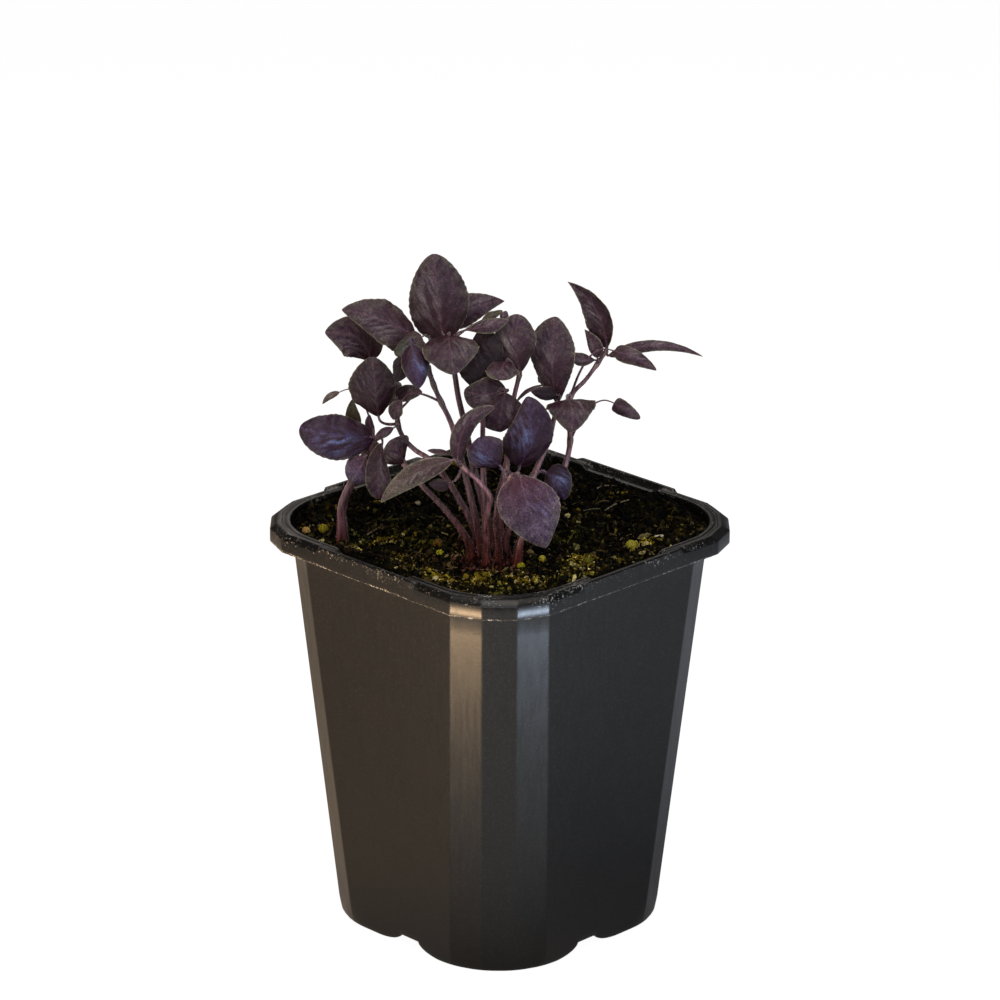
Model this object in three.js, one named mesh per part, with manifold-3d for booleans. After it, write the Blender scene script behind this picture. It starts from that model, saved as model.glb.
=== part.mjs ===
// A potted herb: purple basil, eleven leafy stems of it, in a square nursery pot of black plastic.
// Millimetres, +Z up. The origin is on the surface the pot stands on, under the middle of the pot.
import * as THREE from 'three';
import { mergeVertices } from 'three/addons/utils/BufferGeometryUtils.js';
import Module from 'manifold-3d';

const wasm = await Module();
wasm.setup();

// ---- the pot -----------------------------------------------------------------------------------
const POT_WIDTH = 100;          // across the rim, flat to flat
const POT_HEIGHT = 111.75;      // to the shelf of the rim at the corners
const BASE_WIDTH = 74.2;        // across the foot of the walls
const BODY_WIDTH = 91.3;        // across the walls just under the rim
const CORNER_RADIUS = 22.6;     // each corner is three flats laid round an arc of this radius
const CORNER_FLATS = 3;
const RIM_DEPTH = 3.8;          // height of the rim's outer face
const WALL = 1.4;
const FLOOR_UNDER = 3.2;        // the floor hangs between the feet, this far above the ground
const FLOOR_TOP = 5;
const LIP_HEIGHT = 0.35;        // low bead round the mouth, on the shelf of the rim
const LIP_WIDTH = 1.25;
const BAND = { length: 36, ramp: 3.5, height: 1.9, inset: 0.7 };     // raised middle of each rim side
const NOTCH = { width: 14.5, ramp: 1.8, height: 2.9, offset: 1.8 };  // gap between two feet
const DRAIN = { radius: 4, fromMiddle: 29 };

// ---- the soil ----------------------------------------------------------------------------------
const SOIL_TOP = 108.5;
const SOIL_RELIEF = 0.5;        // half the height of the lumps
const GAP = 0.3;                // air between pieces that rest in or on each other
const ROOT_DEPTH = 9;           // how far each stem stands in its hole

// ---- the plant ---------------------------------------------------------------------------------
const PLANT_TURN = -Math.PI / 4;      // the plant faces a corner of the pot
const BLADE = 0.6;                    // thickness of a leaf
const WAVE = 0.3;                     // height of the waves along the edge of a large leaf
const LARGE = 4;                      // a leaf is large from this half width
const STALK = 0.42;                   // radius of a leaf stalk where it leaves the stem
const STEM_SIDES = 8;
const STALK_SIDES = 4;

const POT_PLASTIC = new THREE.MeshStandardMaterial({ color: 0x1c1a1a, roughness: 0.42 });
const SOIL_MIX = new THREE.MeshStandardMaterial({ color: 0x2b2416, roughness: 1 });
const PURPLE_LEAF = new THREE.MeshStandardMaterial({ color: 0x4a3746, roughness: 0.55 });

// Stems and leaves are given in the plant's own axes: x to the right, y away, z up, seen from the
// corner that the plant faces. A stem has a route from the soil up and its radius at both ends.
// A leaf leaves the stem at a numbered point of the route. Its blade runs from base to tip, half
// gives its half widths left and right of the rib, and widest where along the rib they are reached.
// face is the way its upper side looks, arch the rise of the rib, cup the rise of the edges over
// it, sweep the bow of the rib to the right, and blunt is small for round ends, large for pointed.
const STEMS = [
  { name: 'stem_far_left', radius: [1.4, 1.0],
    route: [[-42, -7, 108.5], [-42, -7, 113.5], [-42, -7.5, 118.5], [-40.5, -8, 123.5],
      [-38.5, -8.5, 127.5], [-36, -8, 133], [-33, -7, 137.5]],
    leaves: [
      { at: 6, base: [-33.5, -8, 139], tip: [-53, -8, 141.5], half: [6.5, 5.7], face: [0, -0.92, 0.45],
        arch: 2, cup: -1.4, widest: [0.5, 0.5], blunt: 0.6, sweep: -1 },
      { at: 6, base: [-31, -10, 138.5], tip: [-32, -11, 123.5], half: [3.5, 3.5], face: [0, -1, 0],
        arch: 0.8, cup: -0.8, widest: [0.8, 0.45], blunt: 0.5, sweep: 0.5 },
      { at: 5, base: [-35, -11, 134], tip: [-39, -12, 127.5], half: [3.7, 3.8], face: [0, -1, 0.1],
        arch: 0.8, cup: -1, widest: [0.65, 0.4], blunt: 0.4, sweep: 0 },
      { at: 6, base: [-33.5, -6, 138], tip: [-34.5, -6, 144.5], half: [1.2, 1.2], face: [0, -1, 0],
        arch: 0.3, cup: -0.3, widest: [0.6, 0.45], blunt: 0.65, sweep: -0.5 },
      { at: 5, base: [-38, -4, 140], tip: [-39, -5, 148.5], half: [2, 2], face: [0, -1, 0],
        arch: 0.3, cup: 0.6, widest: [0.4, 0.35], blunt: 0.75, sweep: -0.5 },
      { at: 6, base: [-42.5, -4, 150], tip: [-47, -5, 147], half: [0.9, 0.9], face: [-0.1, -0.9, 0.5],
        arch: 0.7, cup: -0.3, widest: [0.4, 0.4], blunt: 0.65, sweep: 0.5 },
    ] },
  { name: 'stem_low_left', radius: [0.95, 0.6],
    route: [[-3.5, -24, 108.5], [-3.5, -25.5, 115], [-4, -27, 121.5], [-3, -28, 126.5],
      [-2.5, -28.5, 129.5], [-5.5, -28.5, 134], [-10, -28, 138]],
    leaves: [
      { at: 6, base: [-12.5, -29, 140], tip: [-31, -31, 129], half: [2.9, 3], face: [0, -0.85, 0.5],
        arch: 1.8, cup: -0.6, widest: [0.4, 0.45], blunt: 0.75, sweep: 1.5 },
      { at: 6, base: [-11, -29, 140], tip: [-1.5, -24, 153], half: [2.5, 2.6], face: [-0.1, -1, 0.1],
        arch: 1, cup: -0.8, widest: [0.4, 0.35], blunt: 0.5, sweep: -3.5 },
      { at: 6, base: [-13, -26, 140.5], tip: [-19, -24, 141], half: [1.2, 1.2], face: [0, -0.25, 1],
        arch: 0.3, cup: 0, widest: [0.5, 0.5], blunt: 0.7, sweep: 0 },
      { at: 6, base: [-13.5, -31, 134.5], tip: [-18.5, -31, 134.5], half: [1.8, 1.7],
        face: [0, -0.9, 0.4], arch: 0.4, cup: -0.3, widest: [0.3, 0.5], blunt: 0.65, sweep: -0.5 },
    ] },
  { name: 'stem_outer_left', radius: [1.0, 0.6],
    route: [[-7, -20.5, 108.5], [-9, -20.5, 115.5], [-15.5, -18, 123.5], [-20.5, -15.5, 128],
      [-25.5, -12, 133]],
    leaves: [
      { at: 4, base: [-25, -12, 133.5], tip: [-29, -12, 139.5], half: [4.7, 4.5], face: [0, -1, 0.2],
        arch: 0.8, cup: -0.8, widest: [0.45, 0.75], blunt: 0.55, sweep: 0 },
    ] },
  { name: 'stem_upper_left', radius: [1.0, 0.6],
    route: [[-6, -17.5, 108.5], [-6.5, -18, 116], [-9.5, -17, 122.5], [-14, -15, 129.5],
      [-18.5, -13, 134.5], [-22.5, -11, 136.5], [-25.5, -10, 139.5], [-27, -9, 143], [-27, -9, 146.5]],
    leaves: [
      { at: 7, base: [-32, -12, 146], tip: [-33.5, -16, 164], half: [7.1, 5.4], face: [-0.05, -0.95, 0.3],
        arch: 2.4, cup: -2.4, widest: [0.5, 0.55], blunt: 0.6, sweep: 0 },
      { at: 7, base: [-34, -9, 160.5], tip: [-46, -10, 168.5], half: [5.9, 5.9], face: [-0.2, -0.8, 0.55],
        arch: 1.2, cup: 1, widest: [0.5, 0.4], blunt: 0.7, sweep: 3 },
      { at: 8, base: [-28, -9, 150.5], tip: [-21, -11, 152.5], half: [1.7, 1.7], face: [0.1, -0.8, 0.6],
        arch: 0.6, cup: -0.3, widest: [0.4, 0.45], blunt: 0.65, sweep: -0.5 },
      { at: 8, base: [-24, -9.5, 150.5], tip: [-30.5, -11, 147.5], half: [1.5, 1.5],
        face: [-0.2, -0.7, 0.7], arch: 0.6, cup: -0.3, widest: [0.35, 0.4], blunt: 0.7, sweep: 2 },
      { at: 7, base: [-28, -12, 143], tip: [-33, -13, 140.5], half: [1.3, 1.3], face: [0, -1, 0.5],
        arch: 0.4, cup: -0.3, widest: [0.5, 0.5], blunt: 0.7, sweep: 0 },
      { at: 8, base: [-28.5, -6, 149.5], tip: [-32, 6, 152], half: [3.9, 3.9], face: [0, 0.3, 0.95],
        arch: 1, cup: -0.6, widest: [0.45, 0.45], blunt: 0.65, sweep: 0 },
    ] },
  { name: 'stem_crown_left', radius: [1.05, 0.6],
    route: [[-4.5, -21, 108.5], [-6, -21, 119], [-8, -20.5, 128], [-10.5, -19, 138],
      [-13, -17.5, 146.5], [-15.5, -16, 151.5], [-17.5, -15, 156], [-19, -13, 160.5]],
    leaves: [
      { at: 7, base: [-22, -12, 168], tip: [-41.5, -12, 175.5], half: [6.1, 5.9],
        face: [-0.15, -0.75, 0.65], arch: 2, cup: -1.2, widest: [0.25, 0.5], blunt: 0.75, sweep: 0.5 },
      { at: 7, base: [-20.5, -14.5, 169], tip: [-27, -17.5, 164.5], half: [5.4, 5.2],
        face: [-0.35, -0.35, 0.85], arch: 1.4, cup: -1, widest: [0.4, 0.25], blunt: 0.45, sweep: 0.5 },
      { at: 6, base: [-23, -20, 168], tip: [-21, -25, 158.5], half: [3, 3.1], face: [0.15, -0.95, 0.3],
        arch: 1.6, cup: -1.6, widest: [0.45, 0.4], blunt: 0.6, sweep: 0 },
      { at: 6, base: [-25.5, -18, 165], tip: [-27.5, -20, 158.5], half: [2.3, 2.3], face: [0, -1, 0.3],
        arch: 0.5, cup: -0.4, widest: [0.5, 0.35], blunt: 0.65, sweep: -0.5 },
      { at: 5, base: [-25.5, -15.5, 152], tip: [-28, -15, 146.2], half: [2, 2.1], face: [0, -1, 0.5],
        arch: 0.5, cup: -0.3, widest: [0.6, 0.55], blunt: 0.75, sweep: 0.5 },
    ] },
  { name: 'stem_crown', radius: [1.1, 0.7],
    route: [[-3, -17.5, 108.5], [-4, -16.5, 121], [-7, -14, 132.5], [-9, -12, 142.5],
      [-11, -11, 151], [-12, -11, 157.5], [-13.5, -10, 165.5]],
    leaves: [
      { at: 6, base: [-15, -8, 166], tip: [-17.5, -1, 187.5], half: [7.6, 8.3], face: [0.05, -1, 0.25],
        arch: 1.5, cup: -1.2, widest: [0.4, 0.45], blunt: 0.55, sweep: -0.5 },
      { at: 6, base: [-13.5, -13, 169], tip: [-12, -26, 162.5], half: [7.8, 7.2], face: [0, -0.35, 0.94],
        arch: 3, cup: -1, widest: [0.45, 0.5], blunt: 0.65, sweep: 0.5 },
      { at: 6, base: [-14.5, -5, 170.5], tip: [1, 2, 173.5], half: [4.4, 4.3], face: [0.1, -0.9, 0.45],
        arch: 1.2, cup: -0.8, widest: [0.3, 0.25], blunt: 0.85, sweep: -1 },
      { at: 6, base: [-5, -8, 171.5], tip: [0.5, -6, 173.5], half: [1.2, 1.2], face: [0, -0.6, 0.8],
        arch: 0.5, cup: -0.3, widest: [0.5, 0.45], blunt: 0.65, sweep: 0 },
      { at: 6, base: [0.5, 2, 168], tip: [1.5, 3, 170.5], half: [1.3, 1.2], face: [0, -1, 0.2],
        arch: 0.3, cup: 0, widest: [0.45, 0.35], blunt: 0.65, sweep: 0 },
      { at: 6, base: [-9.5, -12, 170], tip: [2, -12, 173], half: [2, 2.1], face: [0, -0.8, 0.6],
        arch: 0.8, cup: -0.6, widest: [0.55, 0.6], blunt: 0.85, sweep: 0.5 },
      { at: 6, base: [-15, -4, 167], tip: [-18, 10, 170], half: [3.9, 3.9], face: [0, 0.3, 0.95],
        arch: 1, cup: -0.6, widest: [0.45, 0.45], blunt: 0.65, sweep: 0 },
    ] },
  { name: 'stem_middle', radius: [1.0, 0.6],
    route: [[-1.5, -21, 108.5], [-2.5, -22, 118], [-4, -22.5, 128], [-4.5, -22, 139],
      [-4.5, -20, 148], [-4, -18, 153], [-3, -16, 158.5]],
    leaves: [
      { at: 5, base: [1.5, -17, 155.5], tip: [-9, -18, 155], half: [3.6, 3.6], face: [0, -1, 0.2],
        arch: 1, cup: -0.6, widest: [0.55, 0.3], blunt: 0.7, sweep: -1 },
      { at: 5, base: [-6, -16, 154.5], tip: [-7, -13, 163.5], half: [4.7, 4.6], face: [0, -1, 0.2],
        arch: 0.8, cup: -0.6, widest: [0.55, 0.6], blunt: 0.75, sweep: 1 },
      { at: 6, base: [-1.5, -15, 162], tip: [-6, -10, 168], half: [3.2, 3.2], face: [0, -1, 0.2],
        arch: 0.8, cup: -0.6, widest: [0.5, 0.5], blunt: 0.6, sweep: 0 },
      { at: 5, base: [1.5, -18, 153.8], tip: [0.5, -19.5, 144.7], half: [4.4, 4.2], face: [0, -0.95, 0.3],
        arch: 1.2, cup: -0.8, widest: [0.35, 0.65], blunt: 0.8, sweep: 0.5 },
    ] },
  { name: 'stem_centre_right', radius: [1.05, 0.6],
    route: [[0.5, -18, 108.5], [0, -18, 118], [-0.5, -17.5, 125], [1.5, -16.5, 133],
      [2.5, -15, 142], [3.5, -13, 151.5], [5, -12, 158]],
    leaves: [
      { at: 6, base: [7, -12, 160], tip: [6.5, -9, 173], half: [5.6, 5.4], face: [-0.05, -0.95, 0.3],
        arch: 2.2, cup: -1.6, widest: [0.4, 0.55], blunt: 0.65, sweep: -3 },
      { at: 6, base: [1.5, -15, 162.5], tip: [0.5, -23, 160], half: [4.5, 4.5], face: [0, -0.45, 0.9],
        arch: 0.8, cup: -0.8, widest: [0.55, 0.55], blunt: 0.6, sweep: 0.5 },
      { at: 3, base: [5, -23, 136], tip: [7, -21, 155], half: [6.5, 6.4], face: [0.05, -1, 0.15],
        arch: 2.4, cup: -2.6, widest: [0.25, 0.5], blunt: 0.6, sweep: 1.5 },
      { at: 6, base: [4.5, -8, 159.5], tip: [2.5, 5, 163], half: [3.5, 3.5], face: [0, 0.3, 0.95],
        arch: 1, cup: -0.6, widest: [0.45, 0.45], blunt: 0.65, sweep: 0 },
    ] },
  { name: 'stem_pale', radius: [1.0, 0.6],
    route: [[0, -24, 108.5], [-0.5, -26, 117], [-1, -28, 123.5], [0, -29.5, 130], [1.5, -30, 133.5],
      [3, -30, 136]],
    leaves: [
      { at: 5, base: [5, -31.5, 137], tip: [12, -35, 118], half: [8.1, 7.9], face: [0, -0.95, 0.35],
        arch: 1.2, cup: -0.8, widest: [0.45, 0.35], blunt: 0.8, sweep: 0.5 },
      { at: 4, base: [0, -30, 139], tip: [-5.5, -29, 146.5], half: [5.3, 4.8], face: [0, -1, 0.15],
        arch: 1.8, cup: -1.8, widest: [0.6, 0.6], blunt: 0.4, sweep: -0.5 },
    ] },
  { name: 'stem_right', radius: [1.05, 0.6],
    route: [[2, -21, 108.5], [1.5, -21.5, 114.5], [3, -21, 120], [6, -19, 126.5], [8.5, -17, 131],
      [10.5, -14, 134.5], [13, -11, 140], [15, -9, 149.5]],
    leaves: [
      { at: 7, base: [15, -9.3, 148.4], tip: [14.5, -3, 171], half: [6, 5.7], face: [-0.1, -0.95, 0.2],
        arch: 2, cup: -1, widest: [0.6, 0.5], blunt: 0.65, sweep: -1 },
      { at: 7, base: [15, -11, 152], tip: [8, -13, 153.5], half: [1.9, 1.9], face: [0, -0.9, 0.4],
        arch: 0.6, cup: -0.3, widest: [0.45, 0.4], blunt: 0.7, sweep: 0 },
      { at: 7, base: [11.4, -7.6, 153.6], tip: [4, -9, 149], half: [0.7, 0.7], face: [-0.3, -0.5, 0.8],
        arch: 1.4, cup: 0, widest: [0.5, 0.5], blunt: 0.6, sweep: 0 },
      { at: 4, base: [12, -16, 132], tip: [17, -19, 125.5], half: [4.5, 4.4], face: [0.1, -0.95, 0.3],
        arch: 1.2, cup: -1, widest: [0.3, 0.5], blunt: 0.65, sweep: -1 },
      { at: 7, base: [14.5, -5, 150.5], tip: [12, 8, 152.5], half: [3.5, 3.5], face: [0, 0.3, 0.95],
        arch: 1, cup: -0.6, widest: [0.45, 0.45], blunt: 0.65, sweep: 0 },
    ] },
  { name: 'stem_far_right', radius: [1.1, 0.7],
    route: [[4.5, -23.5, 108.5], [5.5, -22.5, 115.5], [9, -18.5, 122], [14, -13.5, 127], [17, -9, 131],
      [18.5, -6, 137.5], [18, -5, 143], [18.5, -4, 149], [22.5, -3, 153.5], [25.5, -2, 157.5],
      [28, -1, 161]],
    leaves: [
      { at: 7, base: [17.5, -10.5, 150.3], tip: [18.5, -21.5, 145.3], half: [6.9, 6.6], face: [0.05, -0.35, 0.94],
        arch: 3, cup: -0.8, widest: [0.2, 0.35], blunt: 0.55, sweep: -0.5 },
      { at: 10, base: [28, -1, 162], tip: [18, 2, 179], half: [3.3, 2.5], face: [-0.25, -0.95, 0],
        arch: 1, cup: 0.8, widest: [0.35, 0.5], blunt: 1.1, sweep: 4 },
      { at: 10, base: [28.5, -1, 159.5], tip: [53.5, 0, 159], half: [1.6, 1.7], face: [0, -0.8, 0.6],
        arch: 3.2, cup: -0.4, widest: [0.35, 0.3], blunt: 0.75, sweep: -2 },
      { at: 7, base: [31.5, -5, 162], tip: [41, -7, 157.5], half: [2.1, 2], face: [0.1, -0.85, 0.5],
        arch: 0.8, cup: -0.6, widest: [0.25, 0.25], blunt: 0.65, sweep: -0.5 },
      { at: 9, base: [25.5, -3, 159.5], tip: [22, -3, 167.5], half: [0.9, 1.9], face: [-0.1, -1, 0.1],
        arch: 0.3, cup: -0.3, widest: [0.35, 0.35], blunt: 0.9, sweep: 0.5 },
      { at: 9, base: [25, -3, 159], tip: [18.5, -3, 161], half: [1.9, 1.8], face: [0, -0.85, 0.5],
        arch: 0.5, cup: -0.3, widest: [0.6, 0.5], blunt: 0.75, sweep: -1 },
      { at: 5, base: [30, -3, 147], tip: [37, -4, 143], half: [2.1, 2.1], face: [0.1, -0.95, 0.3],
        arch: 0.8, cup: -0.6, widest: [0.2, 0.2], blunt: 0.45, sweep: 0 },
    ] },
];

const vector = ([x, y, z]) => new THREE.Vector3(x, y, z);

// A closed body through a row of rings with equally many points. Each ring runs anticlockwise when
// seen from the last ring. From point mirrorFrom on, the faces are split along the other diagonal.
function loft(rings, mirrorFrom = Infinity) {
  const count = rings[0].length;
  const last = (rings.length - 1) * count;
  const faces = [];
  for (let r = 0; r < rings.length - 1; r++) {
    for (let i = 0; i < count; i++) {
      const a = r * count + i;
      const b = r * count + (i + 1) % count;
      const [c, d] = [a + count, b + count];
      if (i < mirrorFrom) faces.push(a, b, d, a, d, c);
      else faces.push(a, b, c, b, d, c);
    }
  }
  for (let i = 1; i < count - 1; i++) faces.push(0, i + 1, i, last, last + i, last + i + 1);
  const geometry = new THREE.BufferGeometry();
  geometry.setAttribute('position', new THREE.Float32BufferAttribute(
    rings.flat().flatMap((p) => [p.x, p.y, p.z]), 3));
  geometry.setIndex(faces);
  return geometry;
}

// Lofted bodies as solids that can be joined and cut, and back again.
function solid(geometry) {
  return new wasm.Manifold(new wasm.Mesh({
    numProp: 3,
    vertProperties: new Float32Array(geometry.attributes.position.array),
    triVerts: new Uint32Array(geometry.index.array),
  }));
}

function mesh(name, body, material) {
  const { vertProperties, triVerts, numProp } = body.getMesh();
  const corners = new THREE.InterleavedBuffer(vertProperties, numProp);
  const geometry = new THREE.BufferGeometry();
  geometry.setAttribute('position', new THREE.InterleavedBufferAttribute(corners, 3, 0));
  geometry.setIndex(new THREE.BufferAttribute(triVerts, 1));
  const piece = new THREE.Mesh(geometry, material);
  piece.name = name;
  return piece;
}

// A square ring with its corners laid round an arc. Flats run outside the arc, points lie on it.
function squareRing(halfWidth, radius, height, flats = CORNER_FLATS, outside = true) {
  const ring = [];
  const step = Math.PI / 2 / (outside ? flats + 1 : flats);
  const reach = outside ? radius / Math.cos(step / 2) : radius;
  for (let corner = 0; corner < 4; corner++) {
    const middle = new THREE.Vector2(1, 1).multiplyScalar(halfWidth - radius)
      .rotateAround(new THREE.Vector2(), corner * Math.PI / 2);
    for (let i = 0; i <= flats; i++) {
      const angle = corner * Math.PI / 2 + (outside ? (i + 0.5) * step : i * step);
      ring.push(new THREE.Vector3(
        middle.x + reach * Math.cos(angle), middle.y + reach * Math.sin(angle), height));
    }
  }
  return ring;
}

// ---- the pot: tapered walls, a rim with a shelf and raised bands, four feet, drain holes --------
const BODY_TOP = POT_HEIGHT - RIM_DEPTH;
const MOUTH = POT_HEIGHT + LIP_HEIGHT;
const wallHalf = (z) => THREE.MathUtils.lerp(BASE_WIDTH, BODY_WIDTH, z / BODY_TOP) / 2;
const insideHalf = (z) => wallHalf(z) - WALL;
const INSIDE_RADIUS = CORNER_RADIUS - WALL;
const INSIDE_FLATS = 6;

function pot() {
  const half = POT_WIDTH / 2;
  const lipHalf = insideHalf(BODY_TOP) + LIP_WIDTH;
  const outline = [[wallHalf(0), 0], [wallHalf(BODY_TOP), BODY_TOP], [half, BODY_TOP],
    [half, POT_HEIGHT], [lipHalf + LIP_HEIGHT, POT_HEIGHT], [lipHalf, MOUTH]];
  let body = solid(loft(outline.map(([h, z]) => squareRing(h, CORNER_RADIUS, z))));

  const bandTop = POT_HEIGHT + BAND.height;
  const inner = insideHalf(BODY_TOP) - WALL;
  const rectangle = (out, long, z) => [
    vector([inner, -long, z]), vector([out, -long, z]), vector([out, long, z]), vector([inner, long, z])];
  const band = loft([
    rectangle(half, BAND.length / 2, BODY_TOP + 1),
    rectangle(half, BAND.length / 2, POT_HEIGHT),
    rectangle(half - BAND.inset, BAND.length / 2 - BAND.ramp, bandTop)]);
  // The notches lie a little nearer to two opposite corners, one of them where the plant faces.
  const opening = (side, long, z) => {
    const middle = side % 2 ? -NOTCH.offset : NOTCH.offset;
    return [[inner / 2, -long], [half, -long], [half, long], [inner / 2, long]]
      .map(([x, y]) => new THREE.Vector3(x, y + middle, z));
  };
  const notch = (side) => loft([
    opening(side, NOTCH.width / 2, -1),
    opening(side, NOTCH.width / 2, 0),
    opening(side, NOTCH.width / 2 - NOTCH.ramp, NOTCH.height)]);
  const drain = new THREE.CylinderGeometry(DRAIN.radius, DRAIN.radius, 3 * FLOOR_TOP, 12)
    .rotateX(Math.PI / 2).translate(DRAIN.fromMiddle, 0, 0);
  for (let side = 0; side < 4; side++) {
    body = body.add(solid(band.clone().rotateZ(side * Math.PI / 2)));
    body = body.subtract(solid(notch(side).rotateZ(side * Math.PI / 2)));
    body = body.subtract(round(drain.clone().rotateZ(side * Math.PI / 2)));
  }
  const inside = [[insideHalf(FLOOR_TOP), FLOOR_TOP], [insideHalf(BODY_TOP), BODY_TOP],
    [insideHalf(BODY_TOP), bandTop + 1]];
  const under = [[insideHalf(0), -1], [insideHalf(0), FLOOR_UNDER]];
  for (const cut of [inside, under]) {
    body = body.subtract(solid(loft(cut.map(([h, z]) =>
      squareRing(h, INSIDE_RADIUS, z, INSIDE_FLATS, false)))));
  }
  return mesh('pot', body, POT_PLASTIC);
}

// A cylinder's seam and caps share no points, so its corners are matched up before it is used.
function round(cylinder) {
  const cleaned = cylinder.clone();
  cleaned.deleteAttribute('normal');
  cleaned.deleteAttribute('uv');
  return solid(mergeVertices(cleaned));
}

// ---- stems and leaves --------------------------------------------------------------------------
// A tapered round bar along a curve.
function bar(curve, steps, sides, radiusAt) {
  const { normals, binormals } = curve.computeFrenetFrames(steps, false);
  const rings = normals.map((normal, i) => {
    const centre = curve.getPointAt(i / steps);
    return Array.from({ length: sides }, (_, k) => {
      const angle = (k / sides) * 2 * Math.PI;
      return centre.clone()
        .addScaledVector(normal, radiusAt(i / steps) * Math.cos(angle))
        .addScaledVector(binormals[i], radiusAt(i / steps) * Math.sin(angle));
    });
  });
  return loft(rings);
}

// A stem goes straight down into the soil from the start of its route.
function stemCurve(route, depth) {
  const foot = route[0].slice(0, 2).concat(SOIL_TOP - depth);
  return new THREE.CatmullRomCurve3([foot, ...route].map(vector), false, 'centripetal');
}

function stemBar({ route, radius }, depth, grow) {
  return bar(stemCurve(route, depth), Math.round(1.7 * route.length), STEM_SIDES,
    (u) => THREE.MathUtils.lerp(radius[0], radius[1], u) + grow);
}

// The rib of a leaf, and the directions across the blade and out of its upper side at any place.
function leafRib({ base, tip, face, arch, sweep }) {
  const [from, to] = [vector(base), vector(tip)];
  const along = to.clone().sub(from).normalize();
  const up = vector(face).projectOnPlane(along).normalize();
  const side = along.clone().cross(up);
  const bow = from.clone().lerp(to, 0.5).addScaledVector(up, 2 * arch).addScaledVector(side, 2 * sweep);
  const rib = new THREE.QuadraticBezierCurve3(from, bow, to);
  return (s) => {
    const ahead = rib.getTangent(s);
    const top = up.clone().projectOnPlane(ahead).normalize();
    return { centre: rib.getPoint(s), top, across: ahead.cross(top) };
  };
}

// A blade is a curved sheet. Its outline swells from the base to the widest place and narrows to
// the tip, its edges rise or sink by the cup, and a large leaf's edges are waved.
function leafBlade(leaf) {
  const { half, cup, widest, blunt } = leaf;
  const large = half[0] + half[1] > 2 * LARGE;
  const places = large ? [0.015, 0.08, 0.2, 0.35, 0.5, 0.65, 0.8, 0.92, 0.985]
    : [0.02, 0.14, 0.35, 0.6, 0.84, 0.98];
  const lines = large ? [-1, -0.5, 0, 0.5, 1] : [-1, 0, 1];
  const rib = leafRib(leaf);
  const rings = places.map((s) => {
    const { centre, top, across } = rib(s);
    const swell = widest.map((w) => Math.sin(Math.PI * s ** (Math.log(0.5) / Math.log(w))) ** blunt);
    const wave = large ? WAVE * Math.sin(5 * Math.PI * s + half[0]) : 0;
    const point = (t, lift) => {
      const k = t < 0 ? 0 : 1;
      return centre.clone()
        .addScaledVector(across, t * half[k] * swell[k])
        .addScaledVector(top, (cup + wave * Math.sign(t)) * t * t * swell[k] + lift);
    };
    return [...lines.map((t) => point(t, BLADE / 2)),
      ...lines.toReversed().map((t) => point(t, -BLADE / 2))];
  });
  return loft(rings, lines.length);
}

// A stalk leaves the stem, turns into the blade and runs on below it as the raised rib.
function leafStalk(leaf, from) {
  const base = vector(leaf.base);
  const rib = leafRib(leaf);
  const ahead = vector(leaf.tip).sub(base).normalize();
  const bend = base.clone().addScaledVector(ahead, -0.45 * from.distanceTo(base));
  const free = new THREE.QuadraticBezierCurve3(from, bend, base);
  const ribPoint = (s) => rib(s).centre.addScaledVector(rib(s).top, -BLADE / 2);
  const points = [0, 0.35, 0.7].map((u) => free.getPoint(u))
    .concat([0.05, 0.15, 0.3].map(ribPoint));
  return bar(new THREE.CatmullRomCurve3(points, false, 'centripetal'), 5, STALK_SIDES,
    (u) => STALK * (1 - 0.35 * u));
}

function leafyStem(stem) {
  let body = solid(stemBar(stem, ROOT_DEPTH, 0));
  for (const leaf of stem.leaves) {
    body = body.add(solid(leafBlade(leaf)));
    body = body.add(solid(leafStalk(leaf, vector(stem.route[leaf.at]))));
  }
  return mesh(stem.name, body, PURPLE_LEAF);
}

// ---- the soil: fills the pot, lumpy on top, with a plain hole for each stem ---------------------
function soil() {
  const lump = ({ x, y }) => SOIL_RELIEF * (Math.sin(x / 5 + 1) * Math.cos(y / 4.3)
    + 0.6 * Math.sin((x + y) / 2.9));
  const side = [FLOOR_TOP + GAP, SOIL_TOP - 1].map((z) =>
    squareRing(insideHalf(z) - GAP, INSIDE_RADIUS - GAP, z, INSIDE_FLATS, false));
  const surface = [1, 0.86, 0.7, 0.52, 0.34, 0.16].map((share) => {
    const reach = insideHalf(SOIL_TOP - 1) - GAP;
    const ring = squareRing(reach, INSIDE_RADIUS - GAP, SOIL_TOP, INSIDE_FLATS, false);
    for (const point of ring) {
      point.x *= share;
      point.y *= share;
      point.z += lump(point) * (share < 1 ? 1 : 0.5);
    }
    return ring;
  });
  let body = solid(loft([...side, ...surface]));
  for (const stem of STEMS) {
    const hole = stemBar(stem, ROOT_DEPTH + GAP, GAP / Math.cos(Math.PI / STEM_SIDES));
    body = body.subtract(solid(hole.rotateZ(PLANT_TURN)));
  }
  return mesh('potting_soil', body, SOIL_MIX);
}

const plant = new THREE.Group();
plant.rotation.z = PLANT_TURN;
plant.add(...STEMS.map(leafyStem));

const pottedBasil = new THREE.Group();
pottedBasil.add(pot(), soil(), plant);

export default pottedBasil;
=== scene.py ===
# %% [markdown]
# # A young purple basil in a square nursery pot
#
# The object is a herb as a garden centre sells it. Eleven thin stems of purple basil stand in gritty
# potting soil, in a square black pot about 100 mm across. The pot is one moulded piece, the soil is
# loose, and each stem has grown together with its leaves.
#
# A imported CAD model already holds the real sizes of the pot, the soil and the stems. This lesson
# dresses that frame: each plain solid gets a finer surface that keeps its form, and a finish.

# %% Load the frame
from functools import partial

import bpy
import numpy as np
from mathutils import Matrix


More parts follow.
